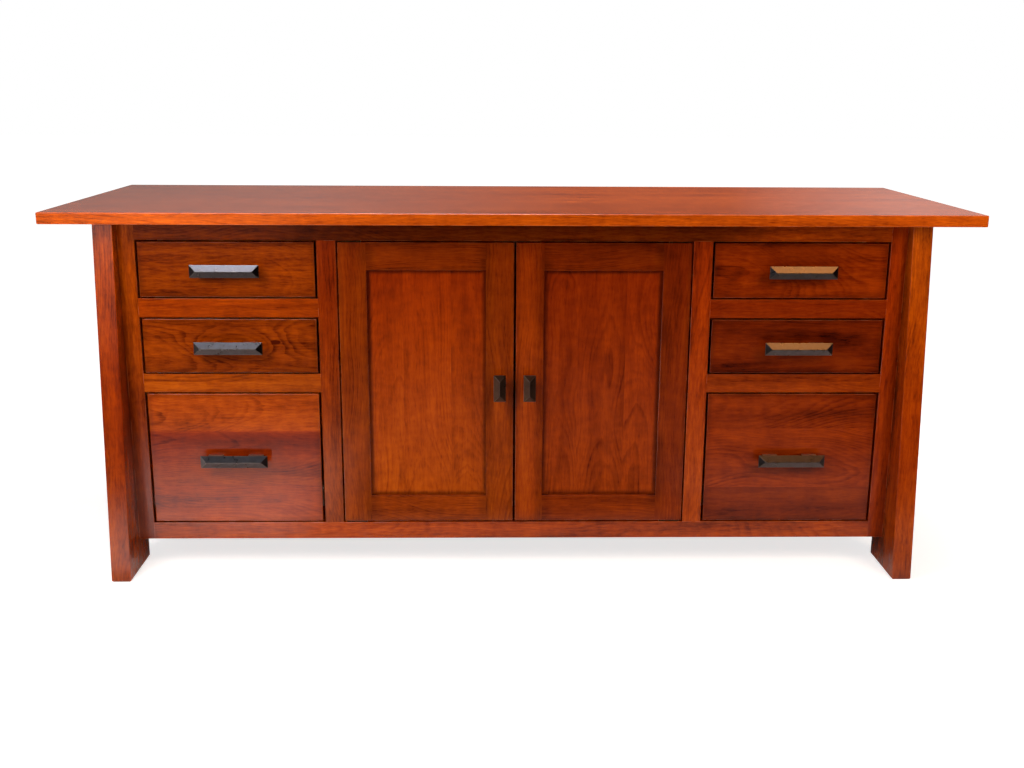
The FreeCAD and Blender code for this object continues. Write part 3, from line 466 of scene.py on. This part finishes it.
def maple_box(name):
    """Clear-lacquered maple: pale sides with end grain showing in the pins of the dovetails."""
    material, tree = empty_material("Clear-lacquered maple " + name)
    low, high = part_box(name)
    centre = (low + high) / 2
    height = high.z - low.z
    pitch = height / max(3, round(height / DOVETAIL_PITCH))
    place = node(tree, "TexCoord").outputs["Object"]
    origin = (centre.x, BOX_MIDDLE_Y, low.z - pitch / 2)
    place = node(tree, "VectorMath", {0: place, 1: origin}, operation="SUBTRACT")
    place = node(tree, "SeparateXYZ", {0: place}).outputs
    off_x = node(tree, "Math", {0: place["X"]}, operation="ABSOLUTE")
    off_y = node(tree, "Math", {0: place["Y"]}, operation="ABSOLUTE")
    past_x = node(tree, "Math", {0: off_x, 1: BOX_INNER_HALF_X}, operation="GREATER_THAN")
    past_y = node(tree, "Math", {0: off_y, 1: BOX_INNER_HALF_Y}, operation="GREATER_THAN")
    # inside a corner, a tail is where the distance from its middle falls within its slanted sides
    from_tail = node(tree, "Math", {0: place["Z"], 1: pitch / 2}, operation="PINGPONG")
    flare = node(tree, "Math", {0: off_y, 1: BOX_INNER_HALF_Y + BOARD / 2}, operation="SUBTRACT")
    half = node(tree, "Math", {0: flare, 1: 1 / 7, 2: pitch * 0.3}, operation="MULTIPLY_ADD")
    in_tail = node(tree, "Math", {0: from_tail, 1: half}, operation="LESS_THAN")
    not_past_y = node(tree, "Math", {0: 1.0, 1: past_y}, operation="SUBTRACT")
    is_side = node(tree, "Math", {0: in_tail, 1: not_past_y}, operation="MAXIMUM")
    is_side = node(tree, "Math", {0: is_side, 1: past_x}, operation="MULTIPLY")
    seed = 50.0 + 9 * centre.z + 5 * centre.x
    side = figure(tree, BACKWARDS, centre, seed, ring=3.5, lines=0.16, lean=0.04)
    end = figure(tree, ACROSS_FRONT, centre, seed + 3, ring=3.5, lines=0.16, lean=0.04)
    side_color = stained(tree, side, MAPLE, BACKWARDS, 0.1, BARE_DEPTH)
    end_color = stained(tree, end, MAPLE, ACROSS_FRONT, 0.1, BARE_DEPTH)
    color = node(tree, "Mix", {0: is_side, 6: end_color, 7: side_color}, data_type="RGBA").outputs[2]
    fibre = node(tree, "Mix", {0: is_side, 2: end.outputs["Fibre"], 3: side.outputs["Fibre"]})
    lacquer(tree, color, fibre, gloss=0.25)
    return material


# ------------------------------------------------ metal and plastic

def dark_bronze(name, centre, bar, upright, dark="#443f3d", pale="#575457", below=1.0):
    """Cast bronze with a dark oiled patina: grey-brown, softly shining, paler along rubbed ridges, with painted
    light and shade under its bar and a painted highlight on the tops of its posts.
    """
    material, tree = empty_material("Oil-rubbed cast bronze " + name)
    place = node(tree, "TexCoord").outputs["Object"]
    local = node(tree, "VectorMath", {0: place, 1: centre}, operation="SUBTRACT")
    local = node(tree, "VectorMath", {0: local}, operation="ABSOLUTE")
    local = node(tree, "SeparateXYZ", {0: local}).outputs
    long_way, short_way = ("Z", "X") if upright else ("X", "Z")
    # along and across the hipped face: 0 at the rim, 1 where the hip meets the ridge
    hip = node(tree, "MapRange", {0: local[long_way], 1: bar[0], 2: bar[0] - BAR_HIP})
    slope = node(tree, "MapRange", {0: local[short_way], 1: bar[1], 2: 0.0})
    ridge = node(tree, "Math", {0: hip, 1: slope}, operation="SUBTRACT")
    ridge = node(tree, "Math", {0: ridge}, operation="ABSOLUTE")
    rim = node(tree, "Math", {0: hip, 1: slope}, operation="MINIMUM")
    near = node(tree, "Math", {0: ridge, 1: rim}, operation="MINIMUM")
    handled = node(tree, "TexNoise", {"Vector": place, "Scale": 70.0, "Detail": 1.0})
    near = node(tree, "Math", {0: handled, 1: 0.12, 2: near}, operation="MULTIPLY_ADD")
    rubbed = node(tree, "MapRange", {0: near, 1: 0.05, 2: 0.16, 3: 0.4, 4: 0.0})
    patina = node(tree, "TexNoise", {"Vector": place, "Scale": 90.0, "Detail": 1.0})
    color = node(tree, "Mix", {0: patina, 6: linear(dark), 7: linear(pale)}, data_type="RGBA").outputs[2]
    color = node(tree, "Mix", {0: rubbed, 6: color, 7: linear("#8b8076")}, data_type="RGBA").outputs[2]
    # painted shade under the bar where below is under 1, painted reflection where it is over 1
    under = graded(tree, ("Z", -0.2, -0.4, 1.0, below), space="Normal")
    color = node(tree, "VectorMath", {0: color, "Scale": under}, operation="SCALE")
    # a painted highlight: the tops of the posts, behind the bar, pale and a little duller
    at_post = node(tree, "Math", {0: coordinate(tree, "Y"), 1: BAR_BACK_Y}, operation="GREATER_THAN")
    upwards = node(tree, "Math", {0: coordinate(tree, "Z", "Normal"), 1: 0.9}, operation="GREATER_THAN")
    post_top_highlight = node(tree, "Math", {0: at_post, 1: upwards}, operation="MULTIPLY")
    color = node(tree, "Mix", {0: post_top_highlight, 6: color, 7: linear("#cdbfae")}, data_type="RGBA").outputs[2]
    rough = node(tree, "MapRange", {0: patina, 1: 0.3, 2: 0.7, 3: 0.27, 4: 0.31})
    rough = node(tree, "Math", {0: post_top_highlight, 1: 0.2, 2: rough}, operation="MULTIPLY_ADD")
    # sand-cast skin: its grain of about 0.6 mm is drawn 2 mm wide, so that it shows
    grain = node(tree, "TexNoise", {"Vector": place, "Scale": 500.0, "Detail": 0.0})
    finish(tree, color, rough, grain, 0.1, 0.02, Metallic=1.0)
    return material


def rolled_metal(name, dull, bright, roughness, grain):
    """Sheet metal with fine lines along its rolling direction and a cloudy plated sheen."""
    material, tree = empty_material(name)
    place = node(tree, "TexCoord").outputs["Object"]
    lines = node(tree, "VectorMath", {0: place, 1: grain}, operation="MULTIPLY")
    lines = node(tree, "TexNoise", {"Vector": lines, "Scale": 1.0, "Detail": 3.0})
    clouds = node(tree, "TexNoise", {"Vector": place, "Scale": 45.0, "Detail": 3.0})
    mixed = node(tree, "Math", {0: lines, 1: clouds}, operation="ADD")
    mixed = node(tree, "MapRange", {0: mixed, 1: 0.75, 2: 1.25})
    color = node(tree, "Mix", {0: mixed, 6: linear(dull), 7: linear(bright)}, data_type="RGBA").outputs[2]
    rough = node(tree, "MapRange", {0: mixed, 3: roughness + 0.1, 4: roughness - 0.05})
    finish(tree, color, rough, lines, 0.1, 0.05, Metallic=1.0)
    return material


def catch_material():
    """Brown moulded ABS with a fine spark texture, and dull steel pole plates let into its front."""
    material, tree = empty_material("Moulded brown ABS with steel plates")
    # two plates 18 by 8 mm, 15 mm either side of the middle
    x = node(tree, "Math", {0: coordinate(tree, "X")}, operation="ABSOLUTE")
    x = node(tree, "Math", {0: x, 1: 15 * MM, 2: 9 * MM}, operation="COMPARE")
    z = node(tree, "Math", {0: coordinate(tree, "Z"), 1: 696.33 * MM, 2: 4 * MM}, operation="COMPARE")
    y = node(tree, "Math", {0: coordinate(tree, "Y"), 1: -223 * MM}, operation="LESS_THAN")
    plate = node(tree, "Math", {0: x, 1: z}, operation="MULTIPLY")
    plate = node(tree, "Math", {0: plate, 1: y}, operation="MULTIPLY")
    place = node(tree, "TexCoord").outputs["Object"]
    spark = node(tree, "TexNoise", {"Vector": place, "Scale": 900.0, "Detail": 2.0})
    brown = [linear(code) for code in ("#33211a", "#4b3429")]
    color = node(tree, "Mix", {0: spark, 6: brown[0], 7: brown[1]}, data_type="RGBA").outputs[2]
    color = node(tree, "Mix", {0: plate, 6: color, 7: linear("#4b4846")}, data_type="RGBA").outputs[2]
    rough = node(tree, "MapRange", {0: spark, 3: 0.4, 4: 0.6})
    finish(tree, color, rough, spark, 0.3, 0.05, Metallic=plate)
    return material


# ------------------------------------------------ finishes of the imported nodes

def finish_node(name, material):
    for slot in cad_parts[name].material_slots:
        slot.material = material


DOOR_FRAME_STAIN = {"left": "#7d2e02", "right": "#7f2b02"}
DOOR_PANEL_STAIN = {"left": "#943502", "right": "#832a02"}

# What boards of one kind share. Edge darkening is the strength and width, in millimetres, of the
# darkening along their edges.
LEG = dict(grain=UPRIGHT_END, lines=0.25)
UPRIGHT = dict(grain=UPRIGHT_FRONT, smoke=(0.45, 8))
RAIL = dict(grain=ACROSS_FRONT, smoke=(0.45, 8))
END = dict(grain=UPRIGHT_END, body="#883002", stave=0.12, ring=6.0)
INNER = dict(body="#8f4416")
FRONT = dict(grain=ACROSS_FRONT, smoke=(0.7, 16))

# Each board's own cut and colour. A fade is in steps along an axis, as graded takes them; most fades paint
# light and shade.
BOARDS = {
    "top_slab": dict(
        grain=LYING, body="#b94d06", seed=1.0, ring=6.0, stave=0.116, lines=0.2, lean=0.03, spread=0.08,
        gloss=0.14, streaks=1.3, clouds=0.35, bands=0.7),
    # the legs' fades are painted light: brighter at the top and at the foot
    "front_leg_left": dict(
        LEG, body="#943502", seed=12.0, slope=LEG_SLOPE, inside=1,
        fade=(("Z", 0.1, 0.3, 1.1, 0.8), ("Z", 0.4, 0.7, 1.0, 1.42))),
    "front_leg_right": dict(
        LEG, body="#9c3a02", seed=13.0, slope=LEG_SLOPE, inside=-1,
        fade=(("Z", 0.1, 0.24, 1.05, 0.82), ("Z", 0.33, 0.74, 1.0, 1.7))),
    "rear_leg_left": dict(LEG, body="#883002", seed=14.0, slope=-LEG_SLOPE),
    "rear_leg_right": dict(LEG, body="#883002", seed=15.0, slope=-LEG_SLOPE),
    # painted light and shade: the left stile darker low down, the mullions darker towards the top
    "stile_left": dict(UPRIGHT, body="#812e02", seed=16.0, fade=(("Z", 0.2, 0.6, 0.88, 1.25),)),
    "stile_right": dict(UPRIGHT, body="#8e2d01", seed=17.0),
    "mullion_left": dict(UPRIGHT, body="#863002", seed=18.0, fade=(("Z", 0.2, 0.6, 1.22, 0.8),)),
    "mullion_right": dict(UPRIGHT, body="#923202", seed=19.0, fade=(("Z", 0.2, 0.6, 1.2, 0.85),)),
    # painted light and reflection along the top rail, brighter at both ends, most of all at the right
    "top_rail": dict(
        RAIL, body="#7c2e02", seed=20.0, warmth=0.0,
        fade=(("X", -0.5, -0.42, 0.76, 0.5), ("X", -0.2, 0.2, 1.0, 1.35), ("X", 0.4, 0.54, 1.0, 2.6))),
    "bottom_rail": dict(RAIL, body="#a43c02", seed=21.5, lean=0.1),
    # painted light: the drawer rails lighter on the left and lower down
    "drawer_rails": dict(
        grain=ACROSS_FRONT, body="#893402", seed=22.0, stave=0.15, streaks=1.2,
        fade=(("X", -0.4, 0.4, 1.12, 0.84), ("Z", 0.42, 0.54, 1.06, 0.8))),
    "case_end_left": dict(END, seed=23.0),
    "case_end_right": dict(END, seed=24.0),
    "partition_left": dict(INNER, grain=UPRIGHT_END, seed=25.0, stave=0.12),
    "partition_right": dict(INNER, grain=UPRIGHT_END, seed=26.0, stave=0.12),
    "case_bottom": dict(INNER, grain=LYING, seed=27.0, stave=0.12),
    "case_back": dict(INNER, grain=UPRIGHT_FRONT, seed=28.0, stave=0.22, ring=7.0, lines=0.2, gloss=0.3),
    "top_stretchers": dict(INNER, grain=LYING, seed=29.0),
    "shelf": dict(INNER, grain=LYING, seed=30.0, stave=0.12),
    "left_top_drawer_front": dict(
        FRONT, body="#7c2e02", seed=41.0, ring=3.0, lean=0.05, deep=0.1, streaks=1.9, lines=0.3, clouds=0.35,
        bands=0.8, warmth=0.0, fade=(("X", -0.74, -0.5, 0.85, 1.0),)),
    "left_middle_drawer_front": dict(
        FRONT, body="#863302", seed=42.0, ring=4.0, lean=0.02, lines=0.45, streaks=1.4,
        knot=(0.0, 0.004, 0.03)),
    "left_file_drawer_front": dict(
        FRONT, body="#943502", seed=43.0, ring=3.5, stave=0.116, spread=0.3, streaks=1.2, lines=0.34,
        warmth=1.6, fade=(("Z", 0.2, 0.29, 0.95, 0.76), ("Z", 0.298, 0.306, 1.0, 1.45))),
    "right_top_drawer_front": dict(
        FRONT, body="#802801", seed=44.0, ring=3.5, deep=0.06, clouds=1.1, streaks=1.2, lines=0.3),
    "right_middle_drawer_front": dict(
        FRONT, body="#661d01", seed=45.0, ring=3.5, deep=0.06, clouds=1.4, streaks=1.2, lines=0.3),
    "right_file_drawer_front": dict(
        FRONT, body="#7b2701", seed=46.0, ring=3.5, stave=0.13, spread=0.3, clouds=0.7, streaks=1.0,
        lines=0.36),
}

# Painted shade, below 1, and painted reflection, above 1, under each drawer pull's bar, beside its face
UNDERSIDES = {"left": {"top": 0.35, "middle": 0.65, "file": 1.0},
              "right": {"top": 1.25, "middle": 1.7, "file": 1.25}}

for name, settings in BOARDS.items():
    finish_node(name, cherry_board(name, **settings))
for side, word in SIDES:
    door = word + "_door_"
    finish_node(door + "frame", cherry_door_frame(side, door + "frame", DOOR_FRAME_STAIN[word]))
    finish_node(door + "panel", cherry_panel(side, door + "panel", DOOR_PANEL_STAIN[word]))
    x, z = DOOR_PULL
    # the door pulls' bronze is browner: a painted reflection of the red wood round them
    finish_node(door + "pull", dark_bronze(
        door + "pull", (side * x, 0, z), DOOR_BAR, upright=True, dark="#46332a", pale="#5b4437"))
    for row, z in ROW_MIDDLES.items():
        drawer = f"{word}_{row}_drawer_"
        finish_node(drawer + "box", maple_box(drawer + "box"))
        finish_node(drawer + "pull", dark_bronze(
            drawer + "pull", (side * BAY_X, 0, z), DRAWER_BAR, upright=False, below=UNDERSIDES[word][row]))

STEEL = rolled_metal("Zinc-plated rolled steel", "#8b8f94", "#c9ccd0", 0.3, (900.0, 12.0, 900.0))
BRASS = rolled_metal("Antiqued brass", "#241a12", "#4a3724", 0.4, (25.0, 1500.0, 1500.0))
PIN_STEEL = rolled_metal("Nickel-plated steel", "#a6a29a", "#d4d0c8", 0.25, (300.0, 300.0, 300.0))
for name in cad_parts:
    if "slide" in name:
        finish_node(name, STEEL)
    if "hinge_leaves" in name:
        finish_node(name, BRASS)
finish_node("shelf_pins", PIN_STEEL)
finish_node("door_catch", catch_material())


# ------------------------------------------------ small fasteners

# Faces that the heads stand on, those of a drawer from the middle of its bay
BACK_Y = 245.5 * MM
STRETCHER_Z = 719 * MM          # underside
CASE_END_X = 774 * MM           # inside
DOOR_BACK_Y = -225.5 * MM
BOX_FRONT_Y = -213.5 * MM       # inside
CASE_MEMBER_X = 179.55 * MM
DRAWER_MEMBER_X = 169.25 * MM
POST_X = 41.5 * MM              # a drawer pull's posts, either side of its middle


def select_none():
    bpy.ops.object.select_all(action="DESELECT")


def only(piece):
    """Make one object the active and only selected one."""
    select_none()
    piece.select_set(True)
    bpy.context.view_layer.objects.active = piece


def pick(piece, kind, items, test):
    """Select the faces or edges that the test picks, and go into edit mode."""
    bpy.ops.object.mode_set(mode="EDIT")
    bpy.ops.mesh.select_mode(type=kind)
    bpy.ops.mesh.select_all(action="DESELECT")
    bpy.ops.object.mode_set(mode="OBJECT")
    for item in items:
        item.select = test(item)
    bpy.ops.object.mode_set(mode="EDIT")


def apply_place():
    bpy.ops.object.transform_apply(location=True, rotation=True, scale=True)


def model_screw(name, radius, height):
    """A pan head standing on the origin along +Z, with a crowned rim and a cross recess."""
    select_none()
    bpy.ops.mesh.primitive_cylinder_add(vertices=24, radius=radius, depth=height, location=(0, 0, height / 2))
    head = bpy.context.object
    head.name = name
    pick(head, "FACE", head.data.polygons, lambda f: f.normal.z > 0.9)
    bpy.ops.mesh.bevel(offset=height * 0.55, segments=3, affect="EDGES")
    bpy.ops.object.mode_set(mode="OBJECT")
    for turn in (0.0, pi / 2):
        select_none()
        bpy.ops.mesh.primitive_cube_add(size=1, location=(0, 0, height), rotation=(0, 0, turn),
                                        scale=(radius * 1.1, radius * 0.22, height))
        blade = bpy.context.object
        apply_place()
        # the blades taper towards their bottom
        pick(blade, "FACE", blade.data.polygons, lambda f: f.normal.z < -0.9)
        bpy.ops.transform.resize(value=(0.55, 0.7, 1.0))
        bpy.ops.object.mode_set(mode="OBJECT")
        only(head)
        cut = head.modifiers.new("recess", "BOOLEAN")
        cut.object = blade
        cut.operation = "DIFFERENCE"
        cut.solver = "EXACT"
        bpy.ops.object.modifier_apply(modifier=cut.name)
        bpy.data.objects.remove(blade)
    only(head)
    apply_place()
    bpy.ops.object.shade_smooth_by_angle(angle=0.6)
    return head


def set_copies(name, pattern, places, body):
    """Copies of a pattern at points with a facing direction, joined into one piece on a body."""
    select_none()
    for index, (point, facing) in enumerate(places):
        copy = pattern.copy()
        copy.data = pattern.data.copy()
        bpy.context.scene.collection.objects.link(copy)
        turn = Vector((0, 0, 1)).rotation_difference(Vector(facing)).to_matrix().to_4x4()
        # each recess sits at its own angle, as driven screws do
        spin = Matrix.Rotation(0.7 * index, 4, "Z")
        copy.data.transform(Matrix.Translation(Vector(point)) @ turn @ spin)
        copy.select_set(True)
        if index == 0:
            bpy.context.view_layer.objects.active = copy
    bpy.ops.object.join()
    piece = bpy.context.object
    piece.name = name
    piece.data.materials.clear()
    piece.data.materials.append(PIN_STEEL)
    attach(piece, body)


def model_strike(side, word):
    """The steel plate on the back of a door that its catch pulls on, with clipped corners and a raised rim."""
    select_none()
    bpy.ops.mesh.primitive_cube_add(size=1, location=(side * 15 * MM, -225.3 * MM, 690.5 * MM),
                                    scale=(22 * MM, 0.4 * MM, 11 * MM))
    plate = bpy.context.object
    plate.name = word + "_door_strike"
    apply_place()
    corners = plate.data.vertices

    def runs_through(edge):
        first, second = (corners[i].co for i in edge.vertices)
        return abs(first.x - second.x) < 1e-6 and abs(first.z - second.z) < 1e-6

    pick(plate, "EDGE", plate.data.edges, runs_through)
    bpy.ops.mesh.bevel(offset=2 * MM, segments=3, affect="EDGES")
    bpy.ops.object.mode_set(mode="OBJECT")
    pick(plate, "FACE", plate.data.polygons, lambda f: f.normal.y > 0.9)
    bpy.ops.mesh.inset(thickness=1.2 * MM, depth=-0.1 * MM)
    bpy.ops.object.mode_set(mode="OBJECT")
    plate.data.materials.append(STEEL)
    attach(plate, word + "_door")


small_screw = model_screw("pattern_small_screw", 3.4 * MM, 1.3 * MM)
pan_screw = model_screw("pattern_pan_screw", 4.6 * MM, 2.4 * MM)

# the back is screwed to the ends, the bottom, the partitions and the rear stretcher
points = [(x, z) for z in (91.5, 729) for x in (-720, -560, -389.5, -195, 0, 195, 389.5, 560, 720)]
points += [(x, z) for x in (-779, 779) for z in (91.5, 250, 410, 570, 729)]
points += [(x, z) for x in (-389.5, 389.5) for z in (250, 410, 570)]
set_copies("back_screws", small_screw, [((x * MM, BACK_Y, z * MM), (0, 1, 0)) for x, z in points], "case")

# screws up through the stretchers into the top
set_copies("top_screws", pan_screw, [
    ((x * MM, y * MM, STRETCHER_Z), (0, 0, -1))
    for x in (-660, -480, -180, 180, 480, 660) for y in (-190, 202)], "case")

# bolts from inside the case ends into the legs
set_copies("leg_bolt_heads", pan_screw, [
    ((side * CASE_END_X, y * MM, z * MM), (-side, 0, 0))
    for side in (-1, 1) for y in (-203.5, 203.5) for z in (407, 563)], "case")

# the box drawers' case members are screwed to the partition and to the cleat
set_copies("case_slide_screws", small_screw, [
    ((side * (BAY_X + out * CASE_MEMBER_X), y * MM, SLIDE_LEVELS[row]), (-side * out, 0, 0))
    for side in (-1, 1) for out in (-1, 1) for row in ("top", "middle") for y in (-190, -40, 150)], "case")

for side, word in SIDES:
    x, z = DOOR_PULL
    set_copies(word + "_door_pull_screw", pan_screw, [((side * x, DOOR_BACK_Y, z), (0, 1, 0))],
               word + "_door")
    for row, z in ROW_MIDDLES.items():
        drawer = f"{word}_{row}_drawer"
        set_copies(drawer + "_pull_screws", pan_screw, [
            ((side * BAY_X + post * POST_X, BOX_FRONT_Y, z), (0, 1, 0)) for post in (-1, 1)], drawer)
        set_copies(drawer + "_slide_screws", small_screw, [
            ((side * BAY_X + out * DRAWER_MEMBER_X, y * MM, SLIDE_LEVELS[row]), (out, 0, 0))
            for out in (-1, 1) for y in (-185, 60)], drawer)
for pattern in (small_screw, pan_screw):
    bpy.data.objects.remove(pattern)
for side, word in SIDES:
    model_strike(side, word)


# ------------------------------------------------ studio

def light_path(tree):
    """What kind of ray asks for a colour, and whether a mirror or glass sent it."""
    path = node(tree, "LightPath").outputs
    mirrored = node(tree, "Math", {0: path["Is Glossy Ray"], 1: path["Is Transmission Ray"]},
                    operation="MAXIMUM")
    return path, mirrored


def studio_floor():
    """Pale paper. Reflections see two pools of light painted on it, the left one brighter, as far as its front
    edge.
    """
    select_none()
    bpy.ops.mesh.primitive_plane_add(size=40, location=(0, 0, 0))
    floor = bpy.context.object
    floor.name = "studio_floor"
    material, tree = empty_material("Studio paper")
    path, mirrored = light_path(tree)
    left_pool = graded(tree, ("X", -0.34, -0.58, 0.0, 1.35), ("Y", -0.9, -0.55, 1.0, 2.1),
                       ("Y", -1.35, -0.85, 0.2, 1.12), ("Y", -0.44, -0.38, 1.0, 0.4), easing="SMOOTHSTEP")
    right_pool = graded(tree, ("X", 0.32, 0.58, 0.0, 0.5), ("Y", -1.15, -0.7, 0.1, 1.0), easing="SMOOTHSTEP")
    paper_edge = graded(tree, ("Y", -1.42, -1.3), easing="SMOOTHSTEP")
    # painted light close to the case, where the lower sides of the pulls look, alike in both halves
    foot = graded(tree, ("Y", -0.6, -0.46, 0.0, 1.1), ("Y", -0.42, -0.36, 1.0, 1.5), easing="SMOOTHSTEP")
    # and under it a painted shadow darkens the paper
    place = node(tree, "TexCoord").outputs["Object"]
    under = node(tree, "VectorMath", {0: place, 1: (1.15, 3.6, 0.0)}, operation="MULTIPLY")
    under = node(tree, "VectorMath", {0: under}, operation="LENGTH").outputs["Value"]
    under = node(tree, "MapRange", {0: under, 1: 0.8, 2: 1.15, 3: 0.1, 4: 1.0})
    pools = left_pool
    for part, operation in ((right_pool, "MAXIMUM"), (paper_edge, "MULTIPLY"), (foot, "MAXIMUM"),
                            (under, "MULTIPLY"), (0.02, "MAXIMUM")):
        pools = node(tree, "Math", {0: pools, 1: part}, operation=operation)
    shade = node(tree, "Mix", {0: mirrored, 2: 1.0, 3: pools})
    tone = node(tree, "VectorMath", {0: linear("#dddcdf")[:3], "Scale": shade}, operation="SCALE")
    paper = node(tree, "BsdfDiffuse", {"Color": tone})
    # to the eye the paper is white, with only the softest shadow of the case left on it
    away = node(tree, "VectorMath", {0: place}, operation="LENGTH").outputs["Value"]
    white = node(tree, "MapRange", {0: away, 1: 0.9, 2: 2.6, 3: 0.72, 4: 1.0})
    white = node(tree, "Math", {0: white, 1: path["Is Camera Ray"]}, operation="MULTIPLY")
    # painted daylight: a glow on the far floor to the left, seen only in reflections, which the edge of the top
    # reflects
    far = graded(tree, ("Y", -6.6, -6.95, 0.0, 0.35), ("X", -0.9, -2.2), easing="SMOOTHSTEP")
    white = node(tree, "Math", {0: far, 1: mirrored, 2: white}, operation="MULTIPLY_ADD")
    glow = node(tree, "Emission", {"Color": linear("#ffffff"), "Strength": white})
    both = node(tree, "AddShader", {0: paper, 1: glow})
    node(tree, "OutputMaterial", {"Surface": both})
    floor.data.materials.append(material)


def studio_world():
    """White to the eye. Reflections see a wall behind the case, a window on the left and a dark room."""
    world = bpy.data.worlds.new("Studio")
    bpy.context.scene.world = world
    world.use_nodes = True
    tree = world.node_tree
    tree.nodes.clear()
    path, mirrored = light_path(tree)
    # the wall is dim behind the right of the middle
    left = graded(tree, ("X", -0.15, 0.08, 1.35, 0.42), space="Generated")
    right = graded(tree, ("X", 0.2, 0.33, 0.42, 2.1), space="Generated")
    sides = node(tree, "Math", {0: left, 1: right}, operation="MAXIMUM")
    wall = graded(tree, ("Y", -0.1, 0.5, 0.01, 0.2), space="Generated")
    wall = node(tree, "Math", {0: wall, 1: sides}, operation="MULTIPLY")
    ceiling = graded(tree, ("Z", 0.5, 1.0, 0.0, 0.25), space="Generated")
    room = node(tree, "Math", {0: wall, 1: ceiling}, operation="ADD")
    # the window, by its sill, its head, its jamb and the wall it is in
    window = graded(tree, ("Z", -0.03, 0.04), ("Z", 0.4, 0.25), ("X", -0.12, -0.28), ("Y", -0.2, -0.5),
                    easing="SMOOTHSTEP", space="Generated")
    room = node(tree, "Math", {0: window, 1: 1.5, 2: room}, operation="MULTIPLY_ADD")
    strength = node(tree, "Mix", {0: mirrored, 2: 0.12, 3: room})
    strength = node(tree, "Mix", {0: path["Is Camera Ray"], 2: strength, 3: 1.0})
    background = node(tree, "Background", {"Color": linear("#ffffff"), "Strength": strength})
    node(tree, "OutputWorld", {"Surface": background})


def soft_box(name, place, target, width, height, power, color, seen_by):
    """An area light that only the matt or only the mirrored part of a surface sees."""
    light = bpy.data.lights.new(name, "AREA")
    light.shape = "RECTANGLE"
    light.size = width
    light.size_y = height
    light.energy = power
    light.color = linear(color)[:3]
    lamp = bpy.data.objects.new(name, light)
    bpy.context.scene.collection.objects.link(lamp)
    lamp.location = place
    lamp.rotation_euler = (Vector(target) - Vector(place)).to_track_quat("-Z", "Y").to_euler()
    lamp.visible_camera = False
    lamp.visible_glossy = seen_by == "glossy"
    lamp.visible_diffuse = seen_by == "diffuse"


# Where each lamp stands and points, its width and height, its watts and colour, and what sees it
LAMPS = {
    "key_left": ((-1.1, -1.25, 1.3), (-0.6, -0.25, 0.45), 0.6, 0.9, 17, "#fff4ea", "diffuse"),
    "key_right": ((1.25, -1.3, 1.3), (0.6, -0.25, 0.45), 0.6, 0.9, 14, "#ffe6cc", "diffuse"),
    "floor_glow": ((-0.1, -0.95, 0.02), (-0.1, -0.245, 0.3), 2.0, 0.5, 4, "#fff2ea", "diffuse"),
    "over_the_top": ((0.5, 0.35, 2.0), (0.4, 0.0, 0.7), 1.0, 0.8, 26, "#fff6ee", "diffuse"),
    "edge_strip": ((-0.72, -0.6, 0.75), (-0.72, -0.32, 0.75), 0.5, 0.03, 0.55, "#ffe6b4", "diffuse"),
    "arris_light": ((-0.22, -0.38, 2.7), (-0.22, -0.38, 0.76), 0.95, 0.36, 80, "#fff6f2", "glossy"),
    "overhead_cool": ((-1.15, -1.75, 2.7), (-0.4, -0.25, 0.6), 0.6, 0.35, 22, "#eaf1ff", "glossy"),
    "overhead_warm": ((1.32, -2.15, 2.7), (0.4, -0.25, 0.6), 0.6, 0.45, 17, "#ffac5c", "glossy"),
}

EYE = (-0.059862, -2.624540, 1.009264)
FOCAL_LENGTH = 1186.928 / 1024  # as a part of the picture's width
SENSOR_WIDTH = 36.0
YAW, DIP, ROLL = -0.023, 0.249, 0.006


def set_camera():
    """Stands a little left of the middle at about eye height, looking slightly down."""
    data = bpy.data.cameras.new("camera")
    camera = bpy.data.objects.new("camera", data)
    bpy.context.scene.collection.objects.link(camera)
    data.sensor_width = SENSOR_WIDTH
    data.lens = FOCAL_LENGTH * SENSOR_WIDTH
    camera.location = EYE
    turn = Matrix.Rotation(YAW, 3, "Z") @ Matrix.Rotation(pi / 2 - DIP, 3, "X") @ Matrix.Rotation(ROLL, 3, "Z")
    camera.rotation_euler = turn.to_euler()
    bpy.context.scene.camera = camera


studio_floor()
studio_world()
for name, settings in LAMPS.items():
    soft_box(name, *settings)
set_camera()
